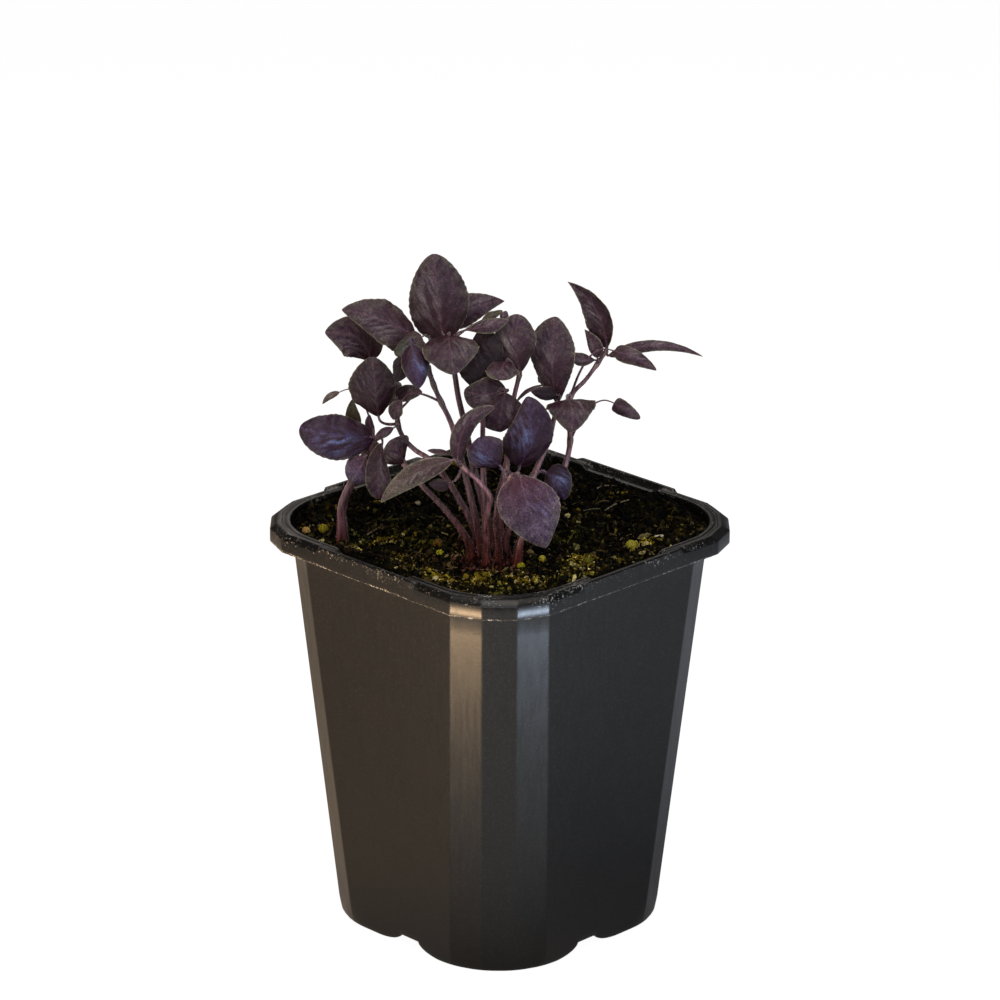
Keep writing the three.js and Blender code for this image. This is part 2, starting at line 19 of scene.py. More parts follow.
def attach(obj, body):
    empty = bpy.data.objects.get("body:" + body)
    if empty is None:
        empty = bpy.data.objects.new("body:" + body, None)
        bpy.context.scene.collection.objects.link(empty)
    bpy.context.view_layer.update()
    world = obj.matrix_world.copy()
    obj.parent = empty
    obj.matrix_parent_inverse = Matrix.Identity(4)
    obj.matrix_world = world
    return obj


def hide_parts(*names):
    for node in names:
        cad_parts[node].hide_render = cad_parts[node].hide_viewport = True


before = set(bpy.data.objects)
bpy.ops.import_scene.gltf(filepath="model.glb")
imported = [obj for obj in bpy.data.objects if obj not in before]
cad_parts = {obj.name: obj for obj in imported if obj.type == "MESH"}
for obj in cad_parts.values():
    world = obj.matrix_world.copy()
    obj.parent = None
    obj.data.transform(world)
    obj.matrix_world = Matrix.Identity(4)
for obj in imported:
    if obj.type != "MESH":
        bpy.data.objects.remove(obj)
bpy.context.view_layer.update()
MM = 0.001
print("nodes in the frame:", ", ".join(sorted(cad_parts)))

# %% [markdown]
# ## Colours and nodes
#
# Colours are picked as the eye sees them, as hex codes, but light adds up linearly. One function
# turns the one into the other. A second small function adds any shader node, so that each finish
# below reads as a list of steps. Stops are the colours of a ramp.

# %% Colour and node helpers


def linear(code):
    """An sRGB hex colour as linear red, green, blue, alpha. Dark parts are divided by 12.92, and the
    rest is ((value + 0.055) / 1.055) to the power 2.4."""
    srgb = np.array([int(code[i:i + 2], 16) for i in (1, 3, 5)]) / 255
    rgb = np.where(srgb <= 0.04045, srgb / 12.92, ((srgb + 0.055) / 1.055) ** 2.4)
    return (*rgb.tolist(), 1.0)


def add_node(material, kind, inputs=(), stops=(), **settings):
    """Adds a shader node with its settings, its ramp's stops and its inputs, in the order of its
    sockets or by name or number. An input is a value, a hex colour, a socket to link, or a node,
    which stands for its first output in use."""
    node = material.node_tree.nodes.new("ShaderNode" + kind)
    for name, value in settings.items():
        setattr(node, name, value)
    for i, (place, code) in enumerate(stops):
        ramp = node.color_ramp.elements
        stop = ramp[i] if i < 2 else ramp.new(place)
        stop.position, stop.color = place, linear(code)
    for key, value in inputs.items() if isinstance(inputs, dict) else enumerate(inputs):
        if isinstance(value, bpy.types.Node):
            value = next(output for output in value.outputs if output.enabled)
        if isinstance(value, bpy.types.NodeSocket):
            material.node_tree.links.new(value, node.inputs[key])
        else:
            node.inputs[key].default_value = linear(value) if isinstance(value, str) else value
    return node


def new_material(name):
    """An empty node material with its output, and the function that adds a node to it."""
    material = bpy.data.materials.new(name)
    material.use_nodes = True
    material.node_tree.nodes.clear()
    return material, partial(add_node, material)


# %% [markdown]
# ## Surfaces from arrays
#
# Every piece here is a surface that can be written as a formula: rows of points along it, and points
# across or round each row. NumPy works out a whole array of points at once. A form is such a set of
# points with its faces and, where needed, a colour for each point. Several forms can share a mesh.

# %% Mesh helpers
CELLS = 64


def unit(v):
    """Vectors of length one, along the last axis."""
    return v / np.maximum(np.linalg.norm(v, axis=-1, keepdims=True), 1e-9)


def grid_faces(rows, cols, ring=False):
    """Four-sided faces between neighbouring points of a grid. On a ring the last column meets the
    first one again."""
    r, c = np.meshgrid(np.arange(rows - 1), np.arange(cols if ring else cols - 1), indexing="ij")
    right = (c + 1) % cols
    corners = [r * cols + c, r * cols + right, (r + 1) * cols + right, (r + 1) * cols + c]
    return np.stack(corners, -1).reshape(-1, 4)


def capped(points):
    """A closed form from a grid of rings: the first and last ring are closed by one flat face."""
    rows, cols, _ = points.shape
    first = np.arange(cols)[::-1][None]
    last = (rows - 1) * cols + np.arange(cols)[None]
    faces = [grid_faces(rows, cols, ring=True), first, last]
    return {"points": points.reshape(-1, 3), "faces": faces}


def make_piece(name, forms, material, node, smooth=True):
    """Puts forms, in millimetres, into one mesh object in metres. The faces go in as one long list
    of corners with the place where each face starts. The piece rides on the one body and stands
    for its CAD node."""
    starts = np.cumsum([0] + [len(f["points"]) for f in forms[:-1]])
    points = np.concatenate([f["points"] for f in forms]) * MM
    blocks = [block + start for f, start in zip(forms, starts) for block in f["faces"]]
    sizes = np.concatenate([np.full(len(b), b.shape[1]) for b in blocks])
    corners = np.concatenate([b.ravel() for b in blocks]).astype(np.int32)
    mesh = bpy.data.meshes.new(name)
    mesh.vertices.add(len(points))
    mesh.vertices.foreach_set("co", points.astype(np.float32).ravel())
    mesh.loops.add(len(corners))
    mesh.loops.foreach_set("vertex_index", corners)
    mesh.polygons.add(len(sizes))
    mesh.polygons.foreach_set("loop_start", (np.cumsum(sizes) - sizes).astype(np.int32))
    mesh.polygons.foreach_set("use_smooth", np.full(len(sizes), smooth))
    mesh.update(calc_edges=True)
    mesh.validate()
    if "colours" in forms[0]:
        layer = mesh.color_attributes.new("tint", "FLOAT_COLOR", "POINT")
        colours = np.concatenate([f["colours"] for f in forms])
        rgba = np.concatenate([colours, np.ones((len(colours), 1))], axis=1)
        layer.data.foreach_set("color", rgba.astype(np.float32).ravel())
    mesh.materials.append(material)
    piece = bpy.data.objects.new(name, mesh)
    bpy.context.scene.collection.objects.link(piece)
    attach(piece, "root")
    if node:
        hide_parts(node)
    print(f"{name}: {len(points)} points, {len(sizes)} faces")
    return piece


def noise(x, y, cell, seed):
    """Smooth random heights from -1 to 1. Random numbers stand at the corners of square cells of
    this size, and each point blends its four corners with 3t^2 - 2t^3 both ways."""
    table = np.random.default_rng(seed).uniform(-1, 1, (CELLS, CELLS))
    u, v = x / cell + CELLS / 2, y / cell + CELLS / 2
    i, j = np.floor(u).astype(int), np.floor(v).astype(int)
    a, b = u - i, v - j
    a, b = a * a * (3 - 2 * a), b * b * (3 - 2 * b)
    near, far = (table[i % CELLS, row % CELLS] * (1 - a) + table[(i + 1) % CELLS, row % CELLS] * a
                 for row in (j, j + 1))
    return near * (1 - b) + far * b


# %% [markdown]
# ## Tubes
#
# Stems, stalks, roots and bits of straw are all tubes along smooth paths. A path runs through its
# points as a row of cubics, and rings of points are laid round it.

# %% Tubes along paths
FINE_STEPS = 600
FLUTES, FLUTE_DEPTH = 4, 0.04


def smooth_path(points, count):
    """A curve through all the points, at equal steps of length. Between two points it is a cubic
    whose slope at each of them blends the slopes of the chords on both sides, weighted by the
    square roots of their lengths."""
    p = np.array(points, float)
    p = np.concatenate([[2 * p[0] - p[1]], p, [2 * p[-1] - p[-2]]])
    h = np.linalg.norm(np.diff(p, axis=0), axis=1) ** 0.5
    chord = np.diff(p, axis=0) / h[:, None]
    knots = np.concatenate([[0], np.cumsum(h[1:-1])])
    wide = (p[2:] - p[:-2]) / (h[:-1] + h[1:])[:, None]
    slope = chord[:-1] - wide + chord[1:]
    u = np.linspace(0, knots[-1], FINE_STEPS)
    k = np.clip(np.searchsorted(knots, u, side="right") - 1, 0, len(knots) - 2)
    step = (knots[k + 1] - knots[k])[:, None]
    t = (u - knots[k])[:, None] / step
    a, b = p[k + 1], p[k + 2]
    curve = ((2 * t ** 3 - 3 * t ** 2 + 1) * a + (t ** 3 - 2 * t ** 2 + t) * step * slope[k]
             + (3 * t ** 2 - 2 * t ** 3) * b + (t ** 3 - t ** 2) * step * slope[k + 1])
    run = np.concatenate([[0], np.cumsum(np.linalg.norm(np.diff(curve, axis=0), axis=1))])
    even = np.linspace(0, run[-1], count)
    return np.stack([np.interp(even, run, curve[:, i]) for i in range(3)], -1)


def path_frames(path):
    """Two directions square to the path at each point: both lie square to its slope, and the first
    one keeps to the plane of a fixed axis, the one that the path leans on least."""
    ahead = unit(np.gradient(path, axis=0))
    axis = np.eye(3)[np.argmin(np.abs(unit(path[-1] - path[0])))]
    first = unit(axis - (ahead @ axis)[:, None] * ahead)
    return first, np.cross(ahead, first)


def tube(path, radii, sides, tint):
    """Rings round a path: at each point, radius x (cos a first + sin a second), in four shallow
    flutes, radius x (1 + depth x cos 4a)."""
    first, second = path_frames(path)
    a = np.linspace(0, 2 * np.pi, sides, endpoint=False)
    ring = np.cos(a)[:, None] * first[:, None] + np.sin(a)[:, None] * second[:, None]
    flute = 1 + FLUTE_DEPTH * np.cos(FLUTES * a)
    points = path[:, None] + (radii[:, None] * flute)[..., None] * ring
    form = capped(points)
    form["colours"] = np.repeat(tint, sides, axis=0)
    return form


# %% [markdown]
# ## The camera
#
# The picture was taken with a long lens from about 1.3 m, looking at a corner of the pot from 20
# degrees above. The camera's three axes are worked out from those angles: back points from the pot to
# the lens, and right lies level but for a slight roll.

# %% Camera
LOOK_AT = np.array([0, 0, 118.4])
AZIMUTH, ELEVATION, ROLL = np.radians([225.0, 20.29, 0.25])
DISTANCE = 1303
LENS, SENSOR = 175.7, 36


def placed(axes, place):
    """A matrix with these three axes as its columns, at a place given in mm."""
    matrix = np.eye(4)
    matrix[:3, :3], matrix[:3, 3] = np.stack(axes, axis=1), np.array(place) * MM
    return Matrix(matrix.tolist())


level_back = np.array([np.cos(AZIMUTH), np.sin(AZIMUTH), 0])
back = np.cos(ELEVATION) * level_back + np.array([0, 0, np.sin(ELEVATION)])
level = unit(np.cross([0, 0, 1], back))
right = np.cos(ROLL) * level + np.sin(ROLL) * np.cross(back, level)
camera = bpy.data.objects.new("camera", bpy.data.cameras.new("camera"))
camera.data.lens, camera.data.sensor_width, camera.data.clip_end = LENS, SENSOR, 20
camera.matrix_world = placed([right, np.cross(back, right), back], LOOK_AT + DISTANCE * back)
bpy.context.scene.collection.objects.link(camera)
bpy.context.scene.camera = camera
print("camera at", np.round(camera.matrix_world.translation, 3))

# %% [markdown]
# ## Studio
#
# A black pot shows little but what it mirrors, so the light is half of its look. Its walls lean
# inwards going down, so they mirror the floor, never the sky. The floor is a sheet of white acrylic
# that glows by itself, which keeps the picture's ground even. What glossy rays see of it is a painted
# reflection, warm on the left and grey on the right, with painted shade near the pot, deepest on the
# right. Soft light comes from above, from the front and from both sides. Two panels lie on the floor
# where the outer flats of the front corner mirror them, one warm and one cool. A photographer keeps
# such a panel off the plant with a black card, and light linking does that here.

# %% Floor and lights
FLOOR_SIZE, FLOOR_DROP = 6.0, 0.0002
SOFTBOXES = {
    # name: place in mm, aim in mm, width and height in mm, colour, brightness, only on the pot
    "left": ((-560, -60, 380), (0, 0, 140), (320, 260), "#FFEFDD", 3.6, False),
    "right": ((80, -640, 420), (0, 0, 140), (260, 260), "#DDE9FF", 4.0, False),
    "front": ((-420, -470, 620), (0, 0, 140), (260, 200), "#E6EAFF", 6.0, False),
    "overhead": ((-60, -100, 900), (0, 0, 110), (560, 560), "#FFF8F2", 3.2, False),
    "back": ((380, 330, 520), (0, 0, 140), (320, 260), "#FFF4EA", 1.6, False),
    "warm_panel": ((-395, -28, 2), (-395, -28, 200), (345, 140), "#FFD6A6", 40.0, True),
    "cool_panel": ((-28, -408, 2), (-28, -408, 200), (130, 290), "#D4E6FF", 40.0, True),
}
# painted reflection: the floor's colour as the pot's walls mirror it, by the side it lies on
PAINTED_REFLECTION_COLOURS = {"left": "#C6AD93", "right": "#A2A6B0", "front": "#F4F4F4"}
WORLD_COLOUR, WORLD_STRENGTH = "#F4F4F6", 0.11

bpy.context.scene.view_settings.view_transform = "Standard"
world = bpy.data.worlds.new("studio")
world.use_nodes = True
sky = world.node_tree.nodes["Background"].inputs
sky["Color"].default_value, sky["Strength"].default_value = linear(WORLD_COLOUR), WORLD_STRENGTH
bpy.context.scene.world = world

acrylic, add = new_material("white floor glowing with painted reflections")
place = add("TexCoord").outputs["Object"]
apart = add("VectorMath", [place, (1, -1, 0)], operation="DOT_PRODUCT")
ahead = add("VectorMath", [place, (-1, -1, 0)], operation="DOT_PRODUCT")
away = add("VectorMath", [place], operation="LENGTH")
sideways = add("MapRange", [apart, -0.10, 0.10])
forward = add("MapRange", [ahead, 0.06, 0.14])
# painted shade: near the pot the glow that glossy rays see is darker, most on the right
close = add("MapRange", {0: sideways, 3: 1.2, 4: 0.38})
far = add("MapRange", [away, 0.06, 0.19, close, 1])
sides = add("Mix", {0: sideways, 6: PAINTED_REFLECTION_COLOURS["left"], 7: PAINTED_REFLECTION_COLOURS["right"]}, data_type="RGBA")
painted_shade_near_pot = add("VectorMath", {0: sides, "Scale": far}, operation="SCALE")
painted_reflection = add("Mix", {0: forward, 6: painted_shade_near_pot, 7: PAINTED_REFLECTION_COLOURS["front"]}, data_type="RGBA")
ray = add("LightPath").outputs
glow = add("Mix", {0: ray["Is Glossy Ray"], 6: "#868686", 7: painted_reflection}, data_type="RGBA")
seen = add("Mix", {0: ray["Is Camera Ray"], 6: glow, 7: "#FFFFFF"}, data_type="RGBA")
add("OutputMaterial", [add("BsdfPrincipled", {
    "Base Color": "#6E6E6E", "Roughness": 0.9, "Specular IOR Level": 0.1, "Emission Color": seen,
    "Emission Strength": 0.96})])
sheet = bpy.data.meshes.new("floor")
corners = [(-1, -1, 0), (1, -1, 0), (1, 1, 0), (-1, 1, 0)]
sheet.from_pydata((np.array(corners) * FLOOR_SIZE / 2).tolist(), [], [(0, 1, 2, 3)])
sheet.materials.append(acrylic)
floor = bpy.data.objects.new("floor", sheet)
floor.location.z = -FLOOR_DROP
bpy.context.scene.collection.objects.link(floor)
only_pot = bpy.data.collections.new("lit_by_panels")


def softbox(name, place, aim, size, colour, brightness, pot_only):
    """A flat rectangular light that faces its aim. A sheet of area A that shines evenly with a
    brightness B gives pi x A x B watts."""
    light = bpy.data.lights.new(name, "AREA")
    light.shape = "RECTANGLE"
    light.size, light.size_y = size[0] * MM, size[1] * MM
    light.color = linear(colour)[:3]
    light.energy = np.pi * light.size * light.size_y * brightness
    away = unit(np.subtract(place, aim))
    side = unit(np.cross([0, 0.001, 1], away))
    lamp = bpy.data.objects.new(name, light)
    lamp.matrix_world = placed([side, np.cross(away, side), away], place)
    bpy.context.scene.collection.objects.link(lamp)
    if pot_only:
        lamp.light_linking.receiver_collection = only_pot


for name, plan in SOFTBOXES.items():
    softbox(name, *plan)
print(len(SOFTBOXES), "lights")

# %% [markdown]
# ## The pot's shape
#
# The pot is injection moulded: one skin about 1.4 mm thick, tapered so that it leaves its mould.
# Seen from above, each of its corners is three flats laid round an arc. So the whole pot can be one
# profile, from the middle of its underside, out round a foot, up the wall, over the rim and down
# inside, carried round that outline. Two features change along a side and are added by formulas:
# the raised band in the middle of the rim, and the notch between two feet.

# %% Pot sizes, in mm
RIM_HALF, RIM_FACE_TOP, RIM_UNDER = 50.0, 111.75, 107.95
CHAMFER, CREST = 1.5, 113.2
BAND_TOP, BAND_LEDGE = 113.5, 112.0
OPENING_HALF, OPENING_CORNER = 45.9, 21.6
FOOT_HALF, BODY_HALF = 37.1, 45.65
CORNER, FLAT_TURN, VERTEX_ROUND = 22.6, 22.5, 0.45
WALL, FLOOR_UNDER, FLOOR_TOP = 1.4, 3.2, 5.0
BAND_HALF, BAND_RAMP, GROOVE_HALF, GROOVE_RAMP = 18.5, 1.3, 14.5, 2.5
NOTCH_HALF, NOTCH_ROUND, NOTCH_RISE, NOTCH_SHIFT = 3.5, 9.0, 2.9, 3.2
SIDE_POINTS = 97
AROUND_EDGE = [-6.9, -2.6, -1.2, -0.8, -0.4, 0, 0.4, 0.8, 1.2, 2.6, 6.9]


def wall_half(z):
    """Half the width across the walls at a height, on a straight taper."""
    return FOOT_HALF + (BODY_HALF - FOOT_HALF) * np.minimum(z, RIM_UNDER) / RIM_UNDER


def step_down(distance, half_length, ramp):
    """1 near the middle and 0 past half_length, with a smooth 3t^2 - 2t^3 ramp in between."""
    t = np.clip((half_length - np.abs(distance)) / ramp, 0, 1)
    return t * t * (3 - 2 * t)


def outline_columns():
    """The places round a quarter of the pot: points along a side, given as a share of its straight
    length, and then angles round the corner, in degrees, close together at each of its edges."""
    angle = (FLAT_TURN * (np.arange(4)[:, None] + 0.5) + AROUND_EDGE).ravel()
    share = np.concatenate([np.linspace(-1, 1, SIDE_POINTS), np.ones(angle.size)])
    return share, np.concatenate([np.zeros(SIDE_POINTS), angle])


def pot_rows():
    """The profile as rows of: half width, height, corner radius, how far the outline is faceted,
    then, on the raised band, half width and height, the share of the notch's rise, and the distance
    from the middle. It goes under the floor, round the foot, up the wall, over the rim and down."""
    inside = CORNER - WALL
    under, neck, floor_edge = (wall_half(z) - WALL for z in (0, RIM_UNDER, FLOOR_TOP))
    edge = RIM_HALF - CHAMFER

    def plain(half, z, radius=CORNER, faceted=1, notch=0, scale=1):
        return half, z, radius, faceted, half, z, notch, scale

    rows = [plain(under, FLOOR_UNDER, inside, 0, scale=share) for share in (0.002, 0.35, 0.7, 0.97)]
    rows += [plain(under + out, z, inside + out, faceted, notch) for out, z, faceted, notch in (
        (0, FLOOR_UNDER, 0, 0), (0, 2.6, 0, 0.2), (0, 0.5, 0, 0.85),
        (0.15, 0.13, 0.3, 0.96), (0.5, 0, 0.5, 1))]
    rows += [plain(FOOT_HALF - 0.45, 0, CORNER, 0, 1), plain(FOOT_HALF - 0.1, 0.12, CORNER, 0, 0.96)]
    rows += [plain(wall_half(z), z, CORNER, faceted, notch) for z, faceted, notch in (
        (0.5, 0.1, 0.85), (1.6, 0.4, 0.5), (3.4, 0.8, 0), (5, 1, 0))]
    rows += [plain(wall_half(z), z) for z in np.linspace(8, RIM_UNDER - 0.7, 16)]
    rows += [plain(half, RIM_UNDER + rise) for half, rise in (
        (BODY_HALF + 0.12, -0.18), (BODY_HALF + 0.6, 0), (RIM_HALF - 0.35, 0),
        (RIM_HALF - 0.08, 0.08), (RIM_HALF, 0.35), (RIM_HALF, 1.6))]
    rows += [(half, z, CORNER - less, faceted, RIM_HALF - band_in, band_z, 0, 1)
             for half, z, less, faceted, band_in, band_z in (
                 (RIM_HALF, RIM_FACE_TOP - 0.25, 0, 1, 0, RIM_FACE_TOP + 0.9),
                 (RIM_HALF - 0.12, RIM_FACE_TOP + 0.1, 0, 1, 0, BAND_TOP - 0.45),
                 (edge + 0.12, CREST - 0.1, 0, 1, 0.12, BAND_TOP - 0.1),
                 (edge - 0.15, CREST, 0, 1, 0.45, BAND_TOP),
                 (edge - 0.5, CREST, 0, 1, 1.0, BAND_TOP),
                 (edge - 0.8, CREST - 0.03, 0, 0.9, 1.25, BAND_TOP - 0.2),
                 (edge - 0.9, CREST - 0.16, 0.2, 0.8, 1.4, BAND_LEDGE + 0.2),
                 (edge - 1.0, CREST - 0.17, 0.4, 0.6, 1.65, BAND_LEDGE),
                 (edge - 1.5, CREST - 0.17, 0.7, 0.3, 2.2, BAND_LEDGE),
                 (edge - 1.6, CREST - 0.04, 0.8, 0.2, 2.5, BAND_LEDGE))]
    rows += [(OPENING_HALF + out, z, radius, 0, OPENING_HALF + out, band_z, 0, 1)
             for out, z, radius, band_z in (
                 (0.35, CREST, OPENING_CORNER + 0.1, BAND_LEDGE),
                 (0.08, CREST - 0.08, OPENING_CORNER, BAND_LEDGE - 0.08),
                 (0, CREST - 0.35, OPENING_CORNER, BAND_LEDGE - 0.35),
                 (-0.05, 110.6, OPENING_CORNER, 110.6), (-0.1, 109.9, OPENING_CORNER, 109.9))]
    rows += [plain(neck + 0.1, 109.6, inside, 0), plain(neck, RIM_UNDER + 0.3, inside, 0)]
    rows += [plain(wall_half(z) - WALL, z, inside, 0) for z in (100, 60, FLOOR_TOP)]
    rows += [plain(floor_edge, FLOOR_TOP, inside, 0, scale=share) for share in (0.9, 0.5, 0.002)]
    return np.array(rows, float)


def pot_surface():
    """Each point sits on the outline of its row. On a side that is half out and share x (half -
    radius) along. Round a corner it is the arc's middle plus a radius r / cos(d), where d is the
    angle from the nearest flat's normal, less a small parabola that rounds the edge between flats.
    On the band the half width and height change to the band's own, by a smooth ramp at its ends.
    A foot's end is a quarter ellipse: 1 - sqrt(1 - u^2) of the notch's rise, u falling from 1 to 0."""
    half, z, radius, faceted, band_half, band_z, notch, scale = pot_rows().T[:, :, None]
    share, angle = outline_columns()
    along = share * (half - radius)
    from_flat = np.radians((angle + FLAT_TURN / 2) % FLAT_TURN - FLAT_TURN / 2)
    from_edge = np.abs((angle % FLAT_TURN) - FLAT_TURN / 2) * np.pi / 180 * radius
    close = np.clip(1 - from_edge / VERTEX_ROUND, 0, 1)
    cut = VERTEX_ROUND * np.tan(np.radians(FLAT_TURN / 4)) * close ** 2
    reach = radius * (1 - faceted) + faceted * (radius / np.cos(from_flat) - cut)
    outer = step_down(along, BAND_HALF, BAND_RAMP) * (share < 1)
    groove = step_down(along, GROOVE_HALF, GROOVE_RAMP) * (share < 1)
    band = np.where(band_z > z, outer, groove)
    a = np.radians(angle)
    x = scale * np.where(angle > 0, half - radius + reach * np.cos(a), half + (band_half - half) * band)
    y = scale * np.where(angle > 0, half - radius + reach * np.sin(a), along)
    quarter = []
    for side in range(4):
        lean = -NOTCH_SHIFT if side % 2 else NOTCH_SHIFT
        gap = np.clip(1 - (np.abs(along - lean) - NOTCH_HALF) / NOTCH_ROUND, 0, 1)
        up = z + (band_z - z) * band + NOTCH_RISE * notch * (1 - np.sqrt(1 - gap ** 2))
        c, s = np.cos(side * np.pi / 2), np.sin(side * np.pi / 2)
        quarter.append(np.stack([c * x - s * y, s * x + c * y, up + 0 * x], -1))
    return capped(np.concatenate(quarter, axis=1))


# %% [markdown]
# ## The pot's finish
#
# The plastic is black polypropylene, filled with recycled carbon-black stock. It comes out of a
# polished steel mould, so it has a satin gloss that blurs what it mirrors. A used pot is never clean:
# it has fine scuffs, pale dust that gathers on the rim, and a speckled line of white flash and dried
# water along the rim's lower edge.

# %% Black polypropylene
plastic, add = new_material("moulded black polypropylene")
place = add("TexCoord").outputs["Object"]
x, y, z = add("SeparateXYZ", [place]).outputs
# five patterns: size in mm, detail, roughness
grain, specks, patches, flash_spots, fine = (
    add("TexNoise", {"Vector": place, "Scale": 1 / (size * MM), "Detail": detail, "Roughness": rough})
    for size, detail, rough in ((9, 5, 0.6), (0.6, 4, 0.7), (11, 3, 0.5), (1.1, 5, 0.8), (0.35, 2, 0.5)))

# pale dust gathers high on the rim's face, in patches, and most on the right side
dust_low = add("MapRange", [z, 0.1075, 0.1125, -0.12, 0.06])
dust_patch = add("MapRange", [patches, 0.35, 0.65, -0.06, 0.06])
dust_place = add("Math", [dust_low, dust_patch], operation="ADD")
dust_side = add("MapRange", [y, -0.0485, -0.046, 0.06, -0.02])
dust_near = add("MapRange", [x, -0.02, 0.02, 0.42, 0.15])
dusty = add("Math", [dust_side, dust_near, dust_place], operation="MULTIPLY_ADD")
dust_edge = add("Math", [specks, dusty], operation="ADD")
dust = add("MapRange", [dust_edge, 0.65, 0.75, 0, 0.75])

# flash and dried water make a broken white line along the rim's lower edge, fainter on the right
wander = add("MapRange", [patches, 0.3, 0.7, -0.00012, 0.00045])
edge_height = add("Math", [z, wander], operation="SUBTRACT")
flash_up = add("MapRange", [z, 0.10793, 0.10802, 0, 1])
flash_down = add("MapRange", [edge_height, 0.10812, 0.10836, 1, 0])
flash_band = add("Math", [flash_up, flash_down], operation="MULTIPLY")
flash_side = add("MapRange", [x, -0.0495, -0.04, 1, 0.4])
flash_mask = add("MapRange", [flash_spots, 0.5, 0.6, 0.03, flash_side])
flash = add("Math", [flash_band, flash_mask], operation="MULTIPLY")

# level, upward-facing places near the left corner are paler, and faint specks lie everywhere
facing = add("SeparateXYZ", [add("NewGeometry").outputs["Normal"]]).outputs["Z"]
away = add("VectorMath", [place, (-0.05, 0.04, 0.113)], operation="DISTANCE")
thin = add("MapRange", [away, 0.01, 0.032, 0.45, 0])
level = add("MapRange", [facing, 0.85, 0.98, 0, thin])
pale_on_level_places = add("Math", [level, patches], operation="MULTIPLY")
dust_and_pale_level = add("Math", [dust, pale_on_level_places], operation="ADD")
soiled = add("MapRange", [specks, 0.5, 0.72, 0, 0.028])
marked = add("Math", [soiled, flash], operation="MAXIMUM")
pale = add("Math", [dust_and_pale_level, marked], operation="MAXIMUM")

body = add("ValToRGB", [grain], stops=[(0.3, "#030302"), (0.75, "#0A0806")])
colour = add("Mix", {0: pale, 6: body, 7: "#A8A49E"}, data_type="RGBA")
stretch = add("Mapping", {"Vector": place, "Scale": (1, 1, 0.1), "Rotation": (0.75, -0.65, 0)})
scuffs = add("TexNoise", {"Vector": stretch, "Scale": 1 / (1.1 * MM), "Detail": 4})
gloss = add("MapRange", [scuffs, 0.35, 0.7, 0.28, 0.36])
relief = add("Math", [fine, pale], operation="ADD")
bump = add("Bump", {"Height": relief, "Strength": 0.1, "Distance": 0.12 * MM})
add("OutputMaterial", [add("BsdfPrincipled", {
    "Base Color": colour, "Roughness": gloss, "IOR": 1.49, "Specular IOR Level": 0.35,
    "Normal": bump})])

# %% [markdown]
# ## Making the pot
#
# The surface is closed, so a solid modifier can cut it: four round drain holes go through the floor
# near the middle of each side, and the cut is applied, so that the mesh is final.

# %% Pot
DRAIN_RADIUS, DRAIN_PLACE, DRAIN_POINTS, DRAIN_SPARE = 4.0, 29.0, 24, 4

pot = make_piece("pot_shell", [pot_surface()], plastic, "pot")


def drain_plug(side):
    """A round bar through the floor: points at equal angles on two circles."""
    a = np.linspace(0, 2 * np.pi, DRAIN_POINTS, endpoint=False)
    ring = np.stack([np.cos(a), np.sin(a)], -1) * DRAIN_RADIUS
    middle = DRAIN_PLACE * np.array([np.cos(side * np.pi / 2), np.sin(side * np.pi / 2)])
    levels = [np.column_stack([ring + middle, np.full(DRAIN_POINTS, z)])
              for z in (FLOOR_UNDER - DRAIN_SPARE, FLOOR_TOP + DRAIN_SPARE)]
    return capped(np.stack(levels))


plugs = make_piece("drain_plugs", [drain_plug(side) for side in range(4)], plastic, None)
cut = pot.modifiers.new("drain_holes", "BOOLEAN")
cut.operation, cut.solver, cut.object = "DIFFERENCE", "EXACT", plugs
bpy.context.view_layer.update()
solved = pot.evaluated_get(bpy.context.evaluated_depsgraph_get())
pot.data = bpy.data.meshes.new_from_object(solved)
pot.modifiers.clear()
bpy.data.objects.remove(plugs)
only_pot.objects.link(pot)
box = np.round(np.array(pot.bound_box)[[0, 6]], 4).tolist()
print("pot with drain holes:", len(pot.data.polygons), "faces, box", box)

# %% [markdown]
# ## The soil
#
# Potting soil is milled bark and peat with grit in it. Watering washes it down in the middle of the
# pot and leaves it banked up at the walls. A thin moss and algae turn its top yellow-green in places,
# most where light falls. The ground is a sheet over the rounded square of the pot, with lumps of
# several sizes, and thousands of loose crumbs lie on it, because real soil shows its grains.

# %% Ground sheet
SOIL_HALF, SOIL_LEVEL, SOIL_BANK, SKIRT = 45.7, 108.2, 3.3, 1.6
SQUARENESS = 4.6
RINGS, RING_POINTS = 120, 460


def from_middle(x, y):
    """How far out a point lies, from 0 in the middle to 1 at the wall: the outline is a square with
    round corners, |x|^p + |y|^p = 1 with p = 4.6."""
    return (np.abs(x / SOIL_HALF) ** SQUARENESS + np.abs(y / SOIL_HALF) ** SQUARENESS) ** (1 / SQUARENESS)


def soil_height(x, y):
    """Lumps of 11, 4, 1.8 and 0.8 mm on a bed that rises by a smooth ramp 3t^2 - 2t^3 over the outer
    quarter."""
    t = np.clip((from_middle(x, y) - 0.7) / 0.26, 0, 1)
    lumps = 0.7 * noise(x, y, 11, 1) + 0.85 * noise(x, y, 4, 2) + 0.75 * noise(x, y, 1.8, 3)
    return SOIL_LEVEL + lumps + 0.3 * noise(x, y, 0.8, 4) + SOIL_BANK * t * t * (3 - 2 * t)


def ground():
    """The outline shrunk in 120 steps to the middle, lifted to the soil's height, with a skirt."""
    a = np.linspace(0, 2 * np.pi, RING_POINTS, endpoint=False)
    reach = 1 / from_middle(np.cos(a), np.sin(a))
    share = np.linspace(1, 0.004, RINGS)[:, None]
    x, y = reach * np.cos(a) * share, reach * np.sin(a) * share
    skirt = [np.stack([x[:1] * s, y[:1] * s, np.full_like(x[:1], SOIL_LEVEL + z)], -1)
             for s, z in ((0.955, -12), (0.96, SKIRT), (1, SKIRT))]
    return capped(np.concatenate([*skirt, np.stack([x, y, soil_height(x, y)], -1)]))


